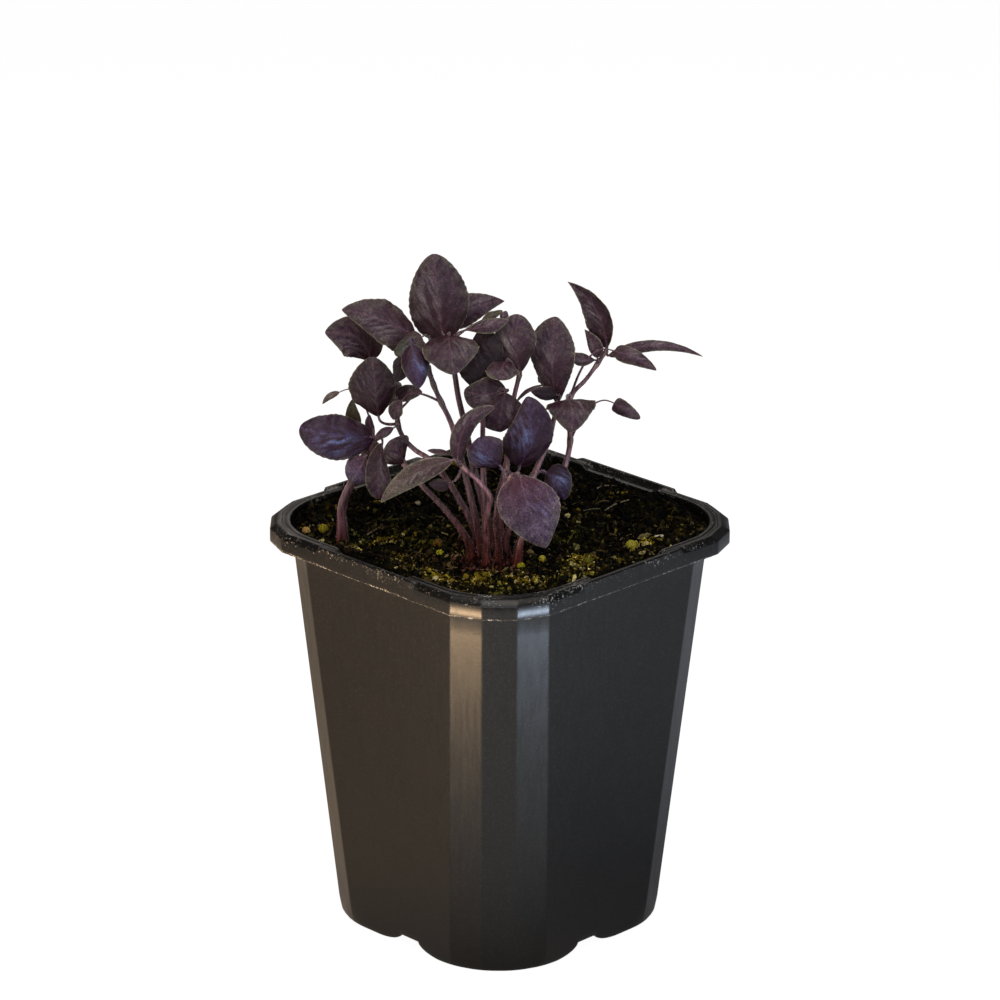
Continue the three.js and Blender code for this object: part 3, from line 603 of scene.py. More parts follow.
peat, add = new_material("moist potting soil with moss")
place = add("TexCoord").outputs["Object"]
patches, grit = (
    add("TexNoise", {"Vector": place, "Scale": 1 / (size * MM), "Detail": 6, "Roughness": rough})
    for size, rough in ((14, 0.7), (1.1, 0.8)))
earth = add("ValToRGB", [grit], stops=[
    (0.38, "#020100"), (0.54, "#0B0804"), (0.66, "#241B0D"), (0.78, "#57482A")])
moss = add("ValToRGB", [grit], stops=[
    (0.4, "#040401"), (0.56, "#1C1A05"), (0.68, "#4A4713"), (0.8, "#8C8540")])
mossy = add("MapRange", [patches, 0.48, 0.62])
colour = add("Mix", {0: mossy, 6: earth, 7: moss}, data_type="RGBA")
bump = add("Bump", {"Height": grit, "Strength": 1.0, "Distance": 0.6 * MM})
add("OutputMaterial", [add("BsdfPrincipled", {
    "Base Color": colour, "Roughness": 0.8, "Specular IOR Level": 0.03, "Normal": bump})])
make_piece("soil_ground", [ground()], peat, "potting_soil")

# %% [markdown]
# ## Loose crumbs
#
# A crumb is a small ball with dents, a few dozen faces, squashed and turned at random. One function
# places thousands of them at once: each crumb's points are its shape turned by its own matrix, made
# as large as its size, and moved to its place. A flake of bark is the same ball pressed flat, and it
# lies nearly level. The draw is seeded, so every run gives the same soil.

# %% Crumb helpers


def ball(rings, around):
    """A ball of unit size: rings of points from pole to pole, and triangles that close the poles."""
    polar = np.pi * (np.arange(rings) + 1) / (rings + 1)
    turn = np.linspace(0, 2 * np.pi, around, endpoint=False)
    p, t = np.meshgrid(polar, turn, indexing="ij")
    body = np.stack([np.sin(p) * np.cos(t), np.sin(p) * np.sin(t), -np.cos(p)], -1).reshape(-1, 3)
    points = np.concatenate([body, [[0, 0, -1], [0, 0, 1]]])
    i, j = np.arange(around), (np.arange(around) + 1) % around
    low, top = rings * around, (rings - 1) * around
    first = np.stack([j, i, i * 0 + low], -1)
    last = np.stack([top + i, top + j, i * 0 + low + 1], -1)
    return points, [grid_faces(rings, around, ring=True), np.concatenate([first, last])]


def random_turns(rng, count, tilt=None):
    """Random rotation matrices, from random unit quaternions. With a tilt, in radians, the turn is
    free about the upright axis and only about that large away from it."""
    q = rng.normal(size=(count, 4))
    if tilt is not None:
        heading = rng.uniform(0, np.pi, count)
        q = np.column_stack([np.cos(heading), q[:, 1:3] * tilt / 2, np.sin(heading)])
    w, x, y, z = unit(q).T
    return np.stack([
        np.stack([1 - 2 * (y * y + z * z), 2 * (x * y - w * z), 2 * (x * z + w * y)], -1),
        np.stack([2 * (x * y + w * z), 1 - 2 * (x * x + z * z), 2 * (y * z - w * x)], -1),
        np.stack([2 * (x * z - w * y), 2 * (y * z + w * x), 1 - 2 * (x * x + y * y)], -1)], 1)


def scatter(rng, places, sizes, shape, colours, dent=0.25, tilt=None):
    """Copies of a shape, each dented by random amounts, stretched, turned and put in its place."""
    points, faces = shape
    count = len(places)
    own = points[None] * (1 + dent * rng.uniform(-1, 1, (count, len(points), 1)))
    own = own * sizes[:, None, :]
    own = np.einsum("nij,nkj->nki", random_turns(rng, count, tilt), own) + places[:, None, :]
    step = len(points) * np.arange(count)[:, None, None]
    blocks = [(block[None] + step).reshape(-1, block.shape[1]) for block in faces]
    tints = np.repeat(colours, len(points), axis=0)
    return {"points": own.reshape(-1, 3), "faces": blocks, "colours": tints}


def soil_places(rng, count, edge=0.985, sunk=0.0):
    """Random places on the soil, evenly spread: each lies inside the rounded square."""
    xy = rng.uniform(-SOIL_HALF, SOIL_HALF, (count * 2, 2))
    xy = xy[from_middle(*xy.T) < edge][:count]
    return np.column_stack([xy, soil_height(*xy.T) + sunk])


def near(places, spots):
    """How near each place is to any of the spots: the sum of bells exp(-(d/r)^2), up to 1."""
    x, y, r = np.array(spots, float).T
    d2 = (places[:, :1] - x) ** 2 + (places[:, 1:2] - y) ** 2
    return np.clip(np.exp(-d2 / r ** 2).sum(1, keepdims=True), 0, 1)


def colour_rows(codes):
    """Hex colours as rows of linear red, green and blue."""
    return np.array([linear(code)[:3] for code in codes])


def palette(rng, places, weights):
    """A colour for each crumb, drawn from rows of hex codes by the same weights. Bare earth turns to
    green moss and to golden moss by how near such a patch is. Painted shade makes it darkest at the
    back and the sides."""
    pick = rng.choice(len(weights), len(places), p=np.array(weights) / sum(weights))
    earth, green, golden = (colour_rows(codes)[pick] for codes in (EARTH, GREEN, GOLDEN))
    x, y = places[:, 0], places[:, 1]
    front = np.clip(0.7 - (x + y) / 70 - np.abs(x - y) / 130, 0.05, 1)[:, None]
    patchy = (noise(x, y, 7, 11) + 0.6 * noise(x, y, 2.5, 12))[:, None]
    moss = np.clip(0.35 * front + 0.9 * near(places, GREEN_SPOTS) + 0.5 * patchy, 0, 1)
    clumps = noise(x, y, 1.5, 13)[:, None]
    gold = np.clip(0.95 * near(places, GOLDEN_SPOTS) + 0.4 * patchy + 0.8 * clumps - 0.32, 0, 1)
    # painted shade: the colour is scaled down from the front corner towards the back and the sides
    colour = (earth * (1 - moss) + green * moss) * (0.1 + front)
    return (colour * (1 - gold) + golden * gold) * rng.uniform(0.4, 1.6, (len(places), 1))


# %% Crumbs, flakes of bark and granules
rng = np.random.default_rng(7)
WEIGHTS = [34, 26, 18, 11, 7, 4]
EARTH = ["#050402", "#110B04", "#221708", "#382912", "#554525", "#82724C"]
GREEN = ["#080801", "#171804", "#2B2C08", "#45450F", "#66651F", "#918F48"]
GOLDEN = ["#0D0A01", "#362B05", "#6C5B0E", "#9A8420", "#C0A83C", "#E4D48E"]
# middle and radius of each patch of golden moss, along the left side, the front and the right side
GOLDEN_SPOTS = [
    (-40, 15, 3.5), (-29, 17, 3), (-34, 32, 2), (-19, 18, 3), (-33, 4, 3), (-26, 18, 2.5), (-35, -7, 4),
    (-36, -14, 4), (-34, -19, 4), (-32, -24, 4), (-27, -20, 4.5), (-22, -24, 4), (-21, -29, 4),
    (-17, -32, 3.5), (-9, -33, 3), (3, -29, 3.5), (2, -24, 2.5), (17, -32, 2.6), (22, -31, 2.4),
    (23, -35, 2.4), (-10, -43, 3.5), (-28, 2, 2.5)]
GREEN_SPOTS = [
    (-5, 23, 5), (-14, 22, 5), (21, -14, 5), (-20, 14, 6), (-30, 24, 5), (6, 37, 4), (18, 35, 5),
    (11, -15, 4), (-12, 29, 5)]
FLAT = np.array([1.0, 0.45, 0.2])


def round_spots(rng, spots, each, sunk):
    """Places in bell-shaped clouds round the spots, as many round each, on the soil's surface."""
    middles = np.repeat(np.array(spots, float), each, axis=0)
    xy = middles[:, :2] + rng.normal(0, 0.5, (len(middles), 2)) * middles[:, 2:]
    xy = xy[from_middle(*xy.T) < 0.97]
    return np.column_stack([xy, soil_height(*xy.T) + sunk])


def drawn(power, least, span, low=0.6, high=1.3):
    """A size for each of the places, least + span u^power, stretched at random three ways."""
    share = rng.uniform(0, 1, (len(places), 1)) ** power
    return (least + span * share) * rng.uniform(low, high, (len(places), 3))


places = soil_places(rng, 5300)
sizes = drawn(2.2, 0.2, 0.85)
crumbs = scatter(rng, places, sizes, ball(3, 6), palette(rng, places, WEIGHTS), dent=0.35)
places = soil_places(rng, 3800, edge=0.97, sunk=0.2)
sizes = (0.5 + rng.uniform(0, 1, (len(places), 1))) ** 1.4 * FLAT
sizes = sizes * rng.uniform(0.6, 1.3, (len(places), 3))
flakes = scatter(rng, places, sizes, ball(3, 6), palette(rng, places, WEIGHTS), dent=0.3, tilt=0.9)
places = round_spots(rng, GOLDEN_SPOTS, 6, 0.3)
sizes = drawn(1, 0.3, 0.45, 0.7, 1.2)
grains = scatter(rng, places, sizes, ball(5, 8), palette(rng, places, [1, 4, 8, 10, 7, 3]), dent=0.2)
places = np.concatenate([
    round_spots(rng, GOLDEN_SPOTS, 240, 0.25), round_spots(rng, GREEN_SPOTS, 130, 0.2),
    soil_places(rng, 3000, sunk=0.15)])
sizes = drawn(2.2, 0.13, 0.4, 0.7, 1.4)
moss_grains = scatter(rng, places, sizes, ball(2, 5), palette(rng, places, [6, 8, 8, 7, 5, 4]), dent=0.3)

# %% Beads, straws and roots
BEADS = [
    # place from the middle, size, colour: slow-release beads and balls of clay, some of them mossy
    (-21.8, 0.6, 1.15, "#B9B42C"), (-22.9, 3.2, 1.2, "#3A2F14"), (-16.7, 6.6, 1.6, "#70541F"),
    (-5.9, -21.7, 1.15, "#B3A63A"), (-14.5, -22.4, 1.1, "#A59C26"), (-3.9, -15.3, 1.1, "#8F7F4E"),
    (15.9, -33.4, 1.7, "#97902F"), (13.6, -36.6, 1.2, "#7D7224"), (21.5, -33.6, 1.1, "#B9B070"),
    (2.8, -30.1, 1.5, "#5F5B1C"), (-35.4, 31.2, 1.5, "#8D7F1F"), (-40.0, 33.0, 1.2, "#B08C50"),
    (28.9, 2.7, 0.7, "#7A6A48"), (-38.6, -14.8, 0.8, "#C7BC86"), (1.3, 33.0, 0.9, "#8C8466"),
]
STRAWS = [
    # places along it, height over the soil, radius, colour
    ([(-28.6, 23.4), (-23, 25), (-18.3, 26.1)], 0.5, 0.24, "#8B7C66"),
    ([(-17.1, -0.3), (-18, -2.5), (-18.9, -4.8)], 0.5, 0.2, "#8E7C42"),
    ([(-24.4, -15.2), (-23.0, -17.2), (-21.2, -18.6)], 0.4, 0.34, "#A98362"),
    ([(-21.6, -20.0), (-19.6, -21.6), (-17.8, -23.6)], 0.45, 0.32, "#B39668"),
    ([(25.0, -35.0), (26.8, -34.6), (27.4, -33.0), (26.4, -31.8), (24.8, -32.2)], 0.7, 0.3, "#CFC8A6"),
    ([(38.0, 2.0), (41.0, 0.5), (43.5, -1.5)], 0.5, 0.2, "#8A7C60"),
    ([(33.0, -7.0), (36.0, -8.6), (38.6, -11.0)], 0.5, 0.18, "#8F8468"),
    ([(31.0, 9.5), (34.0, 8.6), (36.5, 6.5)], 0.5, 0.16, "#776A50"),
    ([(28.0, -3.0), (30.6, -5.0), (33.0, -5.8)], 0.4, 0.14, "#6E6248"),
    ([(-30.0, -29.0), (-31.6, -27.4), (-33.0, -25.0)], 0.5, 0.2, "#B9A67A"),
    ([(-12.0, 24.0), (-16.0, 29.0), (-21.0, 31.0)], 0.4, 0.18, "#4A4222"),
]
BEAD_SHAPE, CROWN_SHAPE = np.array([1.0, 0.92, 0.85]), np.array([1.0, 0.6, 0.4])
STRAW_POINTS, STRAW_SIDES, ROOT_POINTS = 16, 7, 12
FIBRES, ROOTLETS, CROWN_BITS = 150, 70, 1300
FIBRE_COLOURS = ["#2E2212", "#4C3B22", "#6B5A3A", "#3A3210", "#1C140A"]
ROOT_COLOURS = ["#3A1810", "#4E281C", "#28120C", "#5E3C2C", "#1E0E0A"]
CROWN_COLOURS = ["#1A0C09", "#2E1610", "#40211A", "#543024", "#6A4638", "#22120D"]
CROWN_MIDDLE, CROWN_SPREAD, CROWN_RISE = np.array([-15.8, -13.4]), 3.4, 6.5

beads = np.array([(x, y, size) for x, y, size, _ in BEADS])
places = np.column_stack([beads[:, :2], soil_height(beads[:, 0], beads[:, 1]) + 0.55 * beads[:, 2]])
tints = colour_rows(code for *_, code in BEADS)
bead_form = scatter(rng, places, beads[:, 2:] * BEAD_SHAPE, ball(9, 14), tints, dent=0.05, tilt=0.3)


def straw(route, lift, radius, code):
    """A tube over the soil: its path keeps a fixed height above the ground, and its ends are thin."""
    xy = np.array(route, float)
    path = smooth_path(np.column_stack([xy, soil_height(*xy.T) + lift]), STRAW_POINTS)
    radii = radius * np.array([0.3, 0.8, *[1.0] * (STRAW_POINTS - 4), 0.8, 0.3])
    return tube(path, radii, STRAW_SIDES, colour_rows([code] * STRAW_POINTS))


def fibre(rng):
    """A root or bark fibre: three places in a slightly bent row, 2 to 7 mm long."""
    middle = rng.uniform(-38, 38, 2)
    heading, bend, length = rng.uniform(0, 2 * np.pi), rng.normal(0, 0.5), rng.uniform(1, 3.4)
    step = [length * np.array([np.cos(heading + b), np.sin(heading + b)]) for b in (-bend, bend)]
    code = rng.choice(FIBRE_COLOURS)
    route = [middle - step[0], middle, middle + step[1]]
    return straw(route, rng.uniform(0.2, 0.8), rng.uniform(0.07, 0.15), code)


def rootlet(rng):
    """A thin root of the crown: it leaves a stem's foot a few millimetres up and runs down into the
    soil beside it, with a bend halfway."""
    x, y = CROWN_MIDDLE + rng.normal(0, 1, 2) * CROWN_SPREAD
    heading, reach, lift = rng.uniform(0, 2 * np.pi), rng.uniform(1, 3.2), rng.uniform(1.5, 6)
    way = np.array([np.cos(heading), np.sin(heading)]) * reach
    ground_there = float(soil_height(x + way[0], y + way[1]))
    path = smooth_path([(x + out * way[0], y + out * way[1], ground_there + rise)
                        for out, rise in ((0, lift), (0.6, 0.55 * lift), (1, -0.6))], ROOT_POINTS)
    code = rng.choice(ROOT_COLOURS)
    radii = rng.uniform(0.14, 0.34) * np.linspace(1.1, 0.6, ROOT_POINTS)
    return tube(path, radii, STRAW_SIDES, colour_rows([code] * ROOT_POINTS))


straws = [straw(*plan) for plan in STRAWS] + [fibre(rng) for _ in range(FIBRES)]
straws += [rootlet(rng) for _ in range(ROOTLETS)]
middle = CROWN_MIDDLE + rng.normal(0, 1, (CROWN_BITS, 2)) * CROWN_SPREAD
bell = np.exp(-(((middle - CROWN_MIDDLE) / CROWN_SPREAD / 1.5) ** 2).sum(1))
heap = CROWN_RISE * bell * rng.uniform(0, 1, CROWN_BITS)
places = np.column_stack([middle, soil_height(*middle.T) + heap])
sizes = rng.uniform(0.4, 1.1, (CROWN_BITS, 1)) * CROWN_SHAPE * rng.uniform(0.6, 1.3, (CROWN_BITS, 3))
tints = colour_rows(CROWN_COLOURS)[rng.integers(0, len(CROWN_COLOURS), CROWN_BITS)]
crown = scatter(rng, places, sizes, ball(3, 6), tints, dent=0.3)

bark, add = new_material("crumbs of bark, grit and moss")
tint = add("Attribute", attribute_name="tint")
place = add("TexCoord").outputs["Object"]
mottle = add("TexNoise", {"Vector": place, "Scale": 1 / (0.45 * MM), "Detail": 4})
shade = add("MapRange", [mottle, 0.34, 0.7, 0.25, 1.5])
colour = add("VectorMath", {0: tint, "Scale": shade}, operation="SCALE")
bump = add("Bump", {"Height": mottle, "Strength": 0.6, "Distance": 0.15 * MM})
add("OutputMaterial", [add("BsdfPrincipled", {
    "Base Color": colour, "Roughness": 0.7, "Specular IOR Level": 0.06, "Normal": bump})])
for name, forms in (("crumbs", [crumbs]), ("flakes", [flakes]), ("moss", [moss_grains]),
                    ("granules", [grains, bead_form, crown]), ("fibres", straws)):
    smooth = name in ("granules", "fibres")
    make_piece("soil_" + name, forms, bark, "potting_soil", smooth)

# %% [markdown]
# ## The plant's plan
#
# The plan lists the stems and leaves in millimetres, in the plant's own axes: x to the right, y away
# and z up, seen from the pot's corner that it faces. A stem has its radius at both ends, a route, and
# its leaves. A leaf has, in this order: the point of the route that it leaves from, the base and tip
# of its blade, its half widths left and right of the rib, the way its upper side faces, the arch of
# the rib, the rise of its edges, where along the rib each side is widest, how pointed its ends are,
# the bow of the rib to the right, and its tone.

# %% Plan of stems and leaves
# tones of a leaf; one of them is painted shade, a darker copy of the dark tone for leaves inside the
# plant
DARK, PAINTED_SHADE, PAINTED_GLOSS, PALE, DUSTY, MISTY, OLIVE = range(7)
STEMS = {
    "stem_far_left": ((1.4, 1.0), [
        (-42, -7, 108.5), (-42, -7, 113.5), (-42, -7.5, 118.5), (-40.5, -8, 123.5),
        (-38.5, -8.5, 127.5), (-36, -8, 133), (-33, -7, 137.5)], [
        (6, (-33.5, -8, 139), (-53, -8, 141.5), (6.5, 5.7), (0, -0.92, 0.45),
         2, -1.4, (0.5, 0.5), 0.5, -1, PAINTED_GLOSS),
        (6, (-31, -11.5, 138.5), (-32, -13.5, 123.5), (3.6, 3.6), (0, -1, 0),
         0.8, -0.8, (0.75, 0.55), 0.42, 0.5, DARK),
        (5, (-35.6, -10.6, 134), (-39.6, -11.2, 127.5), (3.7, 3.6), (0, -1, 0.1),
         0.8, -1, (0.65, 0.4), 0.4, 0, PALE),
        (6, (-33.5, -6, 138), (-34.5, -6, 144.5), (1.2, 1.2), (0, -1, 0),
         0.3, -0.3, (0.6, 0.45), 0.65, -0.5, DARK),
        (5, (-38, -4, 140), (-39, -5, 148.5), (2, 2), (0, -1, 0),
         0.3, 0.6, (0.4, 0.35), 0.75, -0.5, OLIVE),
        (6, (-42.5, -4, 150), (-47, -5, 147), (0.9, 0.9), (-0.1, -0.9, 0.5),
         0.7, -0.3, (0.4, 0.4), 0.65, 0.5, DUSTY)]),
    "stem_low_left": ((0.95, 0.6), [
        (-3.5, -24, 108.5), (-3.5, -25.5, 115), (-4, -27, 121.5), (-3, -28, 126.5),
        (-2.5, -28.5, 129.5), (-5.5, -28.5, 134), (-10, -28, 138)], [
        (6, (-12.5, -29, 140), (-31, -31, 129), (2.9, 3), (0, -0.85, 0.5),
         1.8, -0.6, (0.4, 0.45), 0.75, 1.5, DUSTY),
        (6, (-11, -29, 140), (-1.5, -24, 153), (2.5, 2.6), (-0.1, -1, 0.1),
         1, -0.8, (0.4, 0.35), 0.5, -3.5, DARK),
        (6, (-13, -26, 140.5), (-19, -24, 141), (1.2, 1.2), (0, -0.25, 1),
         0.3, 0, (0.5, 0.5), 0.7, 0, DARK),
        (6, (-13.5, -31, 134.5), (-18.5, -31, 134.5), (1.8, 1.7), (0, -0.9, 0.4),
         0.4, -0.3, (0.3, 0.5), 0.65, -0.5, PAINTED_SHADE)]),
    "stem_outer_left": ((1.0, 0.6), [
        (-7, -20.5, 108.5), (-9, -20.5, 115.5), (-15.5, -18, 123.5), (-20.5, -15.5, 128),
        (-25.5, -12, 133)], [
        (4, (-25, -12, 133.5), (-29, -12, 139.5), (4.7, 4.5), (0, -1, 0.2),
         0.8, -0.8, (0.45, 0.75), 0.55, 0, DARK)]),
    "stem_upper_left": ((1.0, 0.6), [
        (-6, -17.5, 108.5), (-6.5, -18, 116), (-9.5, -17, 122.5), (-14, -15, 129.5),
        (-18.5, -13, 134.5), (-22.5, -11, 136.5), (-25.5, -10, 139.5), (-27, -9, 143),
        (-27, -9, 146.5)], [
        (7, (-32, -12, 146), (-33.5, -16, 164), (7.1, 5.4), (-0.05, -0.95, 0.3),
         2.4, -2.4, (0.5, 0.55), 0.6, 0, DARK),
        (7, (-34, -9, 160.5), (-46, -10, 168.5), (5.9, 5.9), (-0.2, -0.8, 0.55),
         1.2, 1, (0.5, 0.4), 0.7, 3, DARK),
        (8, (-28, -9, 150), (-20.5, -11, 152.5), (2.5, 2.1), (0.1, -0.8, 0.6),
         0.6, -0.3, (0.4, 0.45), 0.65, -0.5, DARK),
        (8, (-24, -9.5, 150.5), (-30.5, -11, 147.5), (1.5, 1.5), (-0.2, -0.7, 0.7),
         0.6, -0.3, (0.35, 0.4), 0.7, 2, DUSTY),
        (7, (-28, -12, 143), (-33, -13, 140.5), (1.3, 1.3), (0, -1, 0.5),
         0.4, -0.3, (0.5, 0.5), 0.7, 0, DARK),
        (8, (-28.5, -6, 149.5), (-32, 6, 152), (3.9, 3.9), (0, 0.3, 0.95),
         1, -0.6, (0.45, 0.45), 0.65, 0, DARK)]),
    "stem_crown_left": ((1.05, 0.6), [
        (-4.5, -21, 108.5), (-6, -21, 119), (-8, -20.5, 128), (-10.5, -19, 138),
        (-13, -17.5, 146.5), (-15.5, -16, 151.5), (-17.5, -15, 156), (-19, -13, 160.5)], [
        (7, (-22, -12, 168), (-41.5, -12, 175.5), (6.1, 5.9), (-0.15, -0.75, 0.65),
         2, -1.2, (0.25, 0.5), 0.75, 0.5, DARK),
        (7, (-20.5, -14.5, 169), (-27, -17.5, 164.5), (5.4, 5.2), (-0.35, -0.35, 0.85),
         1.4, -1, (0.4, 0.25), 0.45, 0.5, MISTY),
        (6, (-23.2, -20, 168.6), (-21.2, -25, 158.3), (3.8, 3.5), (0.15, -0.95, 0.3),
         1.6, -1.6, (0.45, 0.4), 0.6, 0, PAINTED_GLOSS),
        (6, (-25.5, -18, 165), (-27.5, -20, 158.5), (2.3, 2.3), (0, -1, 0.3),
         0.5, -0.4, (0.5, 0.35), 0.65, -0.5, PAINTED_SHADE),
        (5, (-25.5, -15.5, 152), (-28, -15, 146.2), (2, 2.1), (0, -1, 0.5),
         0.5, -0.3, (0.6, 0.55), 0.75, 0.5, DARK)]),
    "stem_crown": ((1.1, 0.7), [
        (-3, -17.5, 108.5), (-4, -16.5, 121), (-7, -14, 132.5), (-9, -12, 142.5), (-11, -11, 151),
        (-12, -11, 157.5), (-13.5, -10, 165.5)], [
        (6, (-15, -8, 166), (-17.5, -1, 187.5), (7.6, 8.3), (0.05, -1, 0.25),
         1.5, -1.2, (0.4, 0.45), 0.55, -0.5, DARK),
        (6, (-13.5, -13, 169), (-12, -26, 162.5), (7.8, 7.2), (0, -0.35, 0.94),
         3, -1, (0.45, 0.5), 0.65, 0.5, DARK),
        (6, (-14.5, -5, 170.5), (1, 2, 173.5), (4.4, 4.3), (0.1, -0.9, 0.45),
         1.2, -0.8, (0.3, 0.25), 0.85, -1, DARK),
        (6, (-5, -8, 171.5), (0.5, -6, 173.5), (1.2, 1.2), (0, -0.6, 0.8),
         0.5, -0.3, (0.5, 0.45), 0.65, 0, OLIVE),
        (6, (0.5, 2, 168), (1.5, 3, 170.5), (1.3, 1.2), (0, -1, 0.2),
         0.3, 0, (0.45, 0.35), 0.65, 0, DARK),
        (6, (-9.5, -12, 170), (2, -12, 173), (2, 2.1), (0, -0.8, 0.6),
         0.8, -0.6, (0.55, 0.6), 0.85, 0.5, DARK),
        (6, (-15, -4, 167), (-18, 10, 170), (3.9, 3.9), (0, 0.3, 0.95),
         1, -0.6, (0.45, 0.45), 0.65, 0, PAINTED_SHADE)]),
    "stem_middle": ((1.0, 0.6), [
        (-1.5, -21, 108.5), (-2.5, -22, 118), (-4, -22.5, 128), (-4.5, -22, 139), (-4.5, -20, 148),
        (-4, -18, 153), (-3, -16, 158.5)], [
        (5, (1.5, -17, 155.5), (-9.5, -18, 155.5), (4.6, 4.4), (0, -1, 0.2),
         1, -0.6, (0.55, 0.4), 0.55, -1, DARK),
        (5, (-6, -16, 154), (-7, -13, 165), (5.3, 5.4), (0, -1, 0.2),
         0.8, -0.6, (0.55, 0.6), 0.6, 1, PAINTED_SHADE),
        (6, (-1, -15, 161.5), (-6, -10, 169), (4, 4.2), (0, -1, 0.2),
         0.8, -0.6, (0.5, 0.5), 0.5, 0, PAINTED_SHADE),
        (5, (1.3, -18, 155), (0.1, -19.5, 144.5), (6.2, 7.0), (0, -0.95, 0.3),
         1.2, -0.8, (0.4, 0.55), 0.7, 0.5, DARK)]),
    "stem_centre_right": ((1.05, 0.6), [
        (0.5, -18, 108.5), (0, -18, 118), (-0.5, -17.5, 125), (1.5, -16.5, 133), (2.5, -15, 142),
        (3.5, -13, 151.5), (5, -12, 158)], [
        (6, (5.3, -12, 158.5), (4.9, -9, 173.5), (5.7, 5.5), (-0.05, -0.95, 0.3),
         1.8, -1.0, (0.5, 0.58), 0.5, -1.2, DARK),
        (6, (1.5, -15, 162.5), (0.5, -23, 160), (4.5, 4.5), (0, -0.45, 0.9),
         0.8, -0.8, (0.55, 0.55), 0.6, 0.5, DARK),
        (3, (5, -23, 136), (7, -21, 155), (6.5, 6.4), (0.05, -1, 0.15),
         2.4, -2.6, (0.25, 0.5), 0.6, 1.5, PAINTED_GLOSS),
        (6, (4.5, -8, 159.5), (2.5, 5, 163), (3.5, 3.5), (0, 0.3, 0.95),
         1, -0.6, (0.45, 0.45), 0.65, 0, DARK)]),
    "stem_pale": ((1.0, 0.6), [
        (0, -24, 108.5), (-0.5, -26, 117), (-1, -28, 123.5), (0, -29.5, 130), (1.5, -30, 133.5),
        (3, -30, 136)], [
        (5, (5, -31.5, 137), (12, -35, 118), (8.1, 7.9), (0, -0.95, 0.35),
         1.2, -0.8, (0.45, 0.35), 0.8, 0.5, PALE),
        (4, (0, -30, 139), (-5.5, -29, 146.5), (5.3, 4.8), (0, -1, 0.15),
         1.8, -1.8, (0.6, 0.6), 0.4, -0.5, PAINTED_GLOSS)]),
    "stem_right": ((1.05, 0.6), [
        (2, -21, 108.5), (1.5, -21.5, 114.5), (3, -21, 120), (6, -19, 126.5), (8.5, -17, 131),
        (10.5, -14, 134.5), (13, -11, 140), (15, -9, 149.5)], [
        (7, (15, -9.3, 148.4), (14.5, -3, 171), (6.2, 6), (-0.1, -0.95, 0.2),
         2, -1, (0.66, 0.58), 0.65, -1, DARK),
        (7, (15, -11, 152), (8, -13, 153.5), (1.9, 1.9), (0, -0.9, 0.4),
         0.6, -0.3, (0.45, 0.4), 0.7, 0, PAINTED_SHADE),
        (7, (11.4, -7.6, 153.6), (4, -9, 149), (0.7, 0.7), (-0.3, -0.5, 0.8),
         1.4, 0, (0.5, 0.5), 0.6, 0, DARK),
        (4, (12, -16, 132), (17, -19, 125.5), (4.5, 4.4), (0.1, -0.95, 0.3),
         1.2, -1, (0.3, 0.5), 0.65, -1, PAINTED_GLOSS),
        (7, (14.5, -5, 150.5), (12, 8, 152.5), (3.5, 3.5), (0, 0.3, 0.95),
         1, -0.6, (0.45, 0.45), 0.65, 0, PAINTED_SHADE)]),
    "stem_far_right": ((1.1, 0.5), [
        (4.5, -23.5, 108.5), (5.5, -22.5, 115.5), (9, -18.5, 122), (14, -13.5, 127), (17, -9, 131),
        (18.5, -6, 137.5), (18, -5, 143), (18.5, -4, 149), (22.5, -3, 153.5), (25.5, -2, 157.5),
        (28, -1, 161)], [
        (7, (17.5, -10.5, 150.3), (18.5, -21.5, 145.3), (6.9, 6.6), (0.05, -0.35, 0.94),
         3, -0.8, (0.2, 0.35), 0.55, -0.5, DARK),
        (10, (28, -1, 161.5), (17.5, 2, 179), (4.2, 3.1), (-0.25, -0.95, 0),
         1, 0.8, (0.35, 0.45), 0.95, 3.4, DARK),
        (10, (28.5, -1, 159.5), (53.5, 0, 159), (1.6, 1.7), (0, -0.8, 0.6),
         3.2, -0.4, (0.35, 0.3), 0.75, -2, DARK),
        (7, (30, -4.6, 162), (41, -7, 157.5), (2.4, 2.3), (0.1, -0.85, 0.5),
         0.8, -0.6, (0.25, 0.25), 0.65, -0.5, DARK),
        (9, (25.5, -3, 159.5), (22, -3, 167.5), (1.6, 2.3), (-0.1, -1, 0.1),
         0.3, -0.3, (0.35, 0.35), 0.9, 0.5, DARK),
        (9, (25, -3, 159), (18.5, -3, 161), (1.9, 1.8), (0, -0.85, 0.5),
         0.5, -0.3, (0.6, 0.5), 0.75, -1, DARK),
        (5, (30, -3, 147), (37, -4, 143), (2.1, 2.1), (0.1, -0.95, 0.3),
         0.8, -0.6, (0.2, 0.2), 0.45, 0, DARK)]),
}
print(len(STEMS), "stems with", sum(len(leaves) for _, _, leaves in STEMS.values()), "leaves")

# %% [markdown]
# ## Leaves
#
# A basil leaf is an oval blade that arches along its rib and curls at its edges. The rib is a
# quadratic curve from base to tip. Across it, at every place, two directions are known: sideways and
# out of the upper face. The blade is then base curve plus sideways share of its half width plus a
# rise that grows with the square of that share. Side veins leave the rib at a slant and curve towards
# the tip, and the blade swells a little between them, which is what breaks up its gloss.

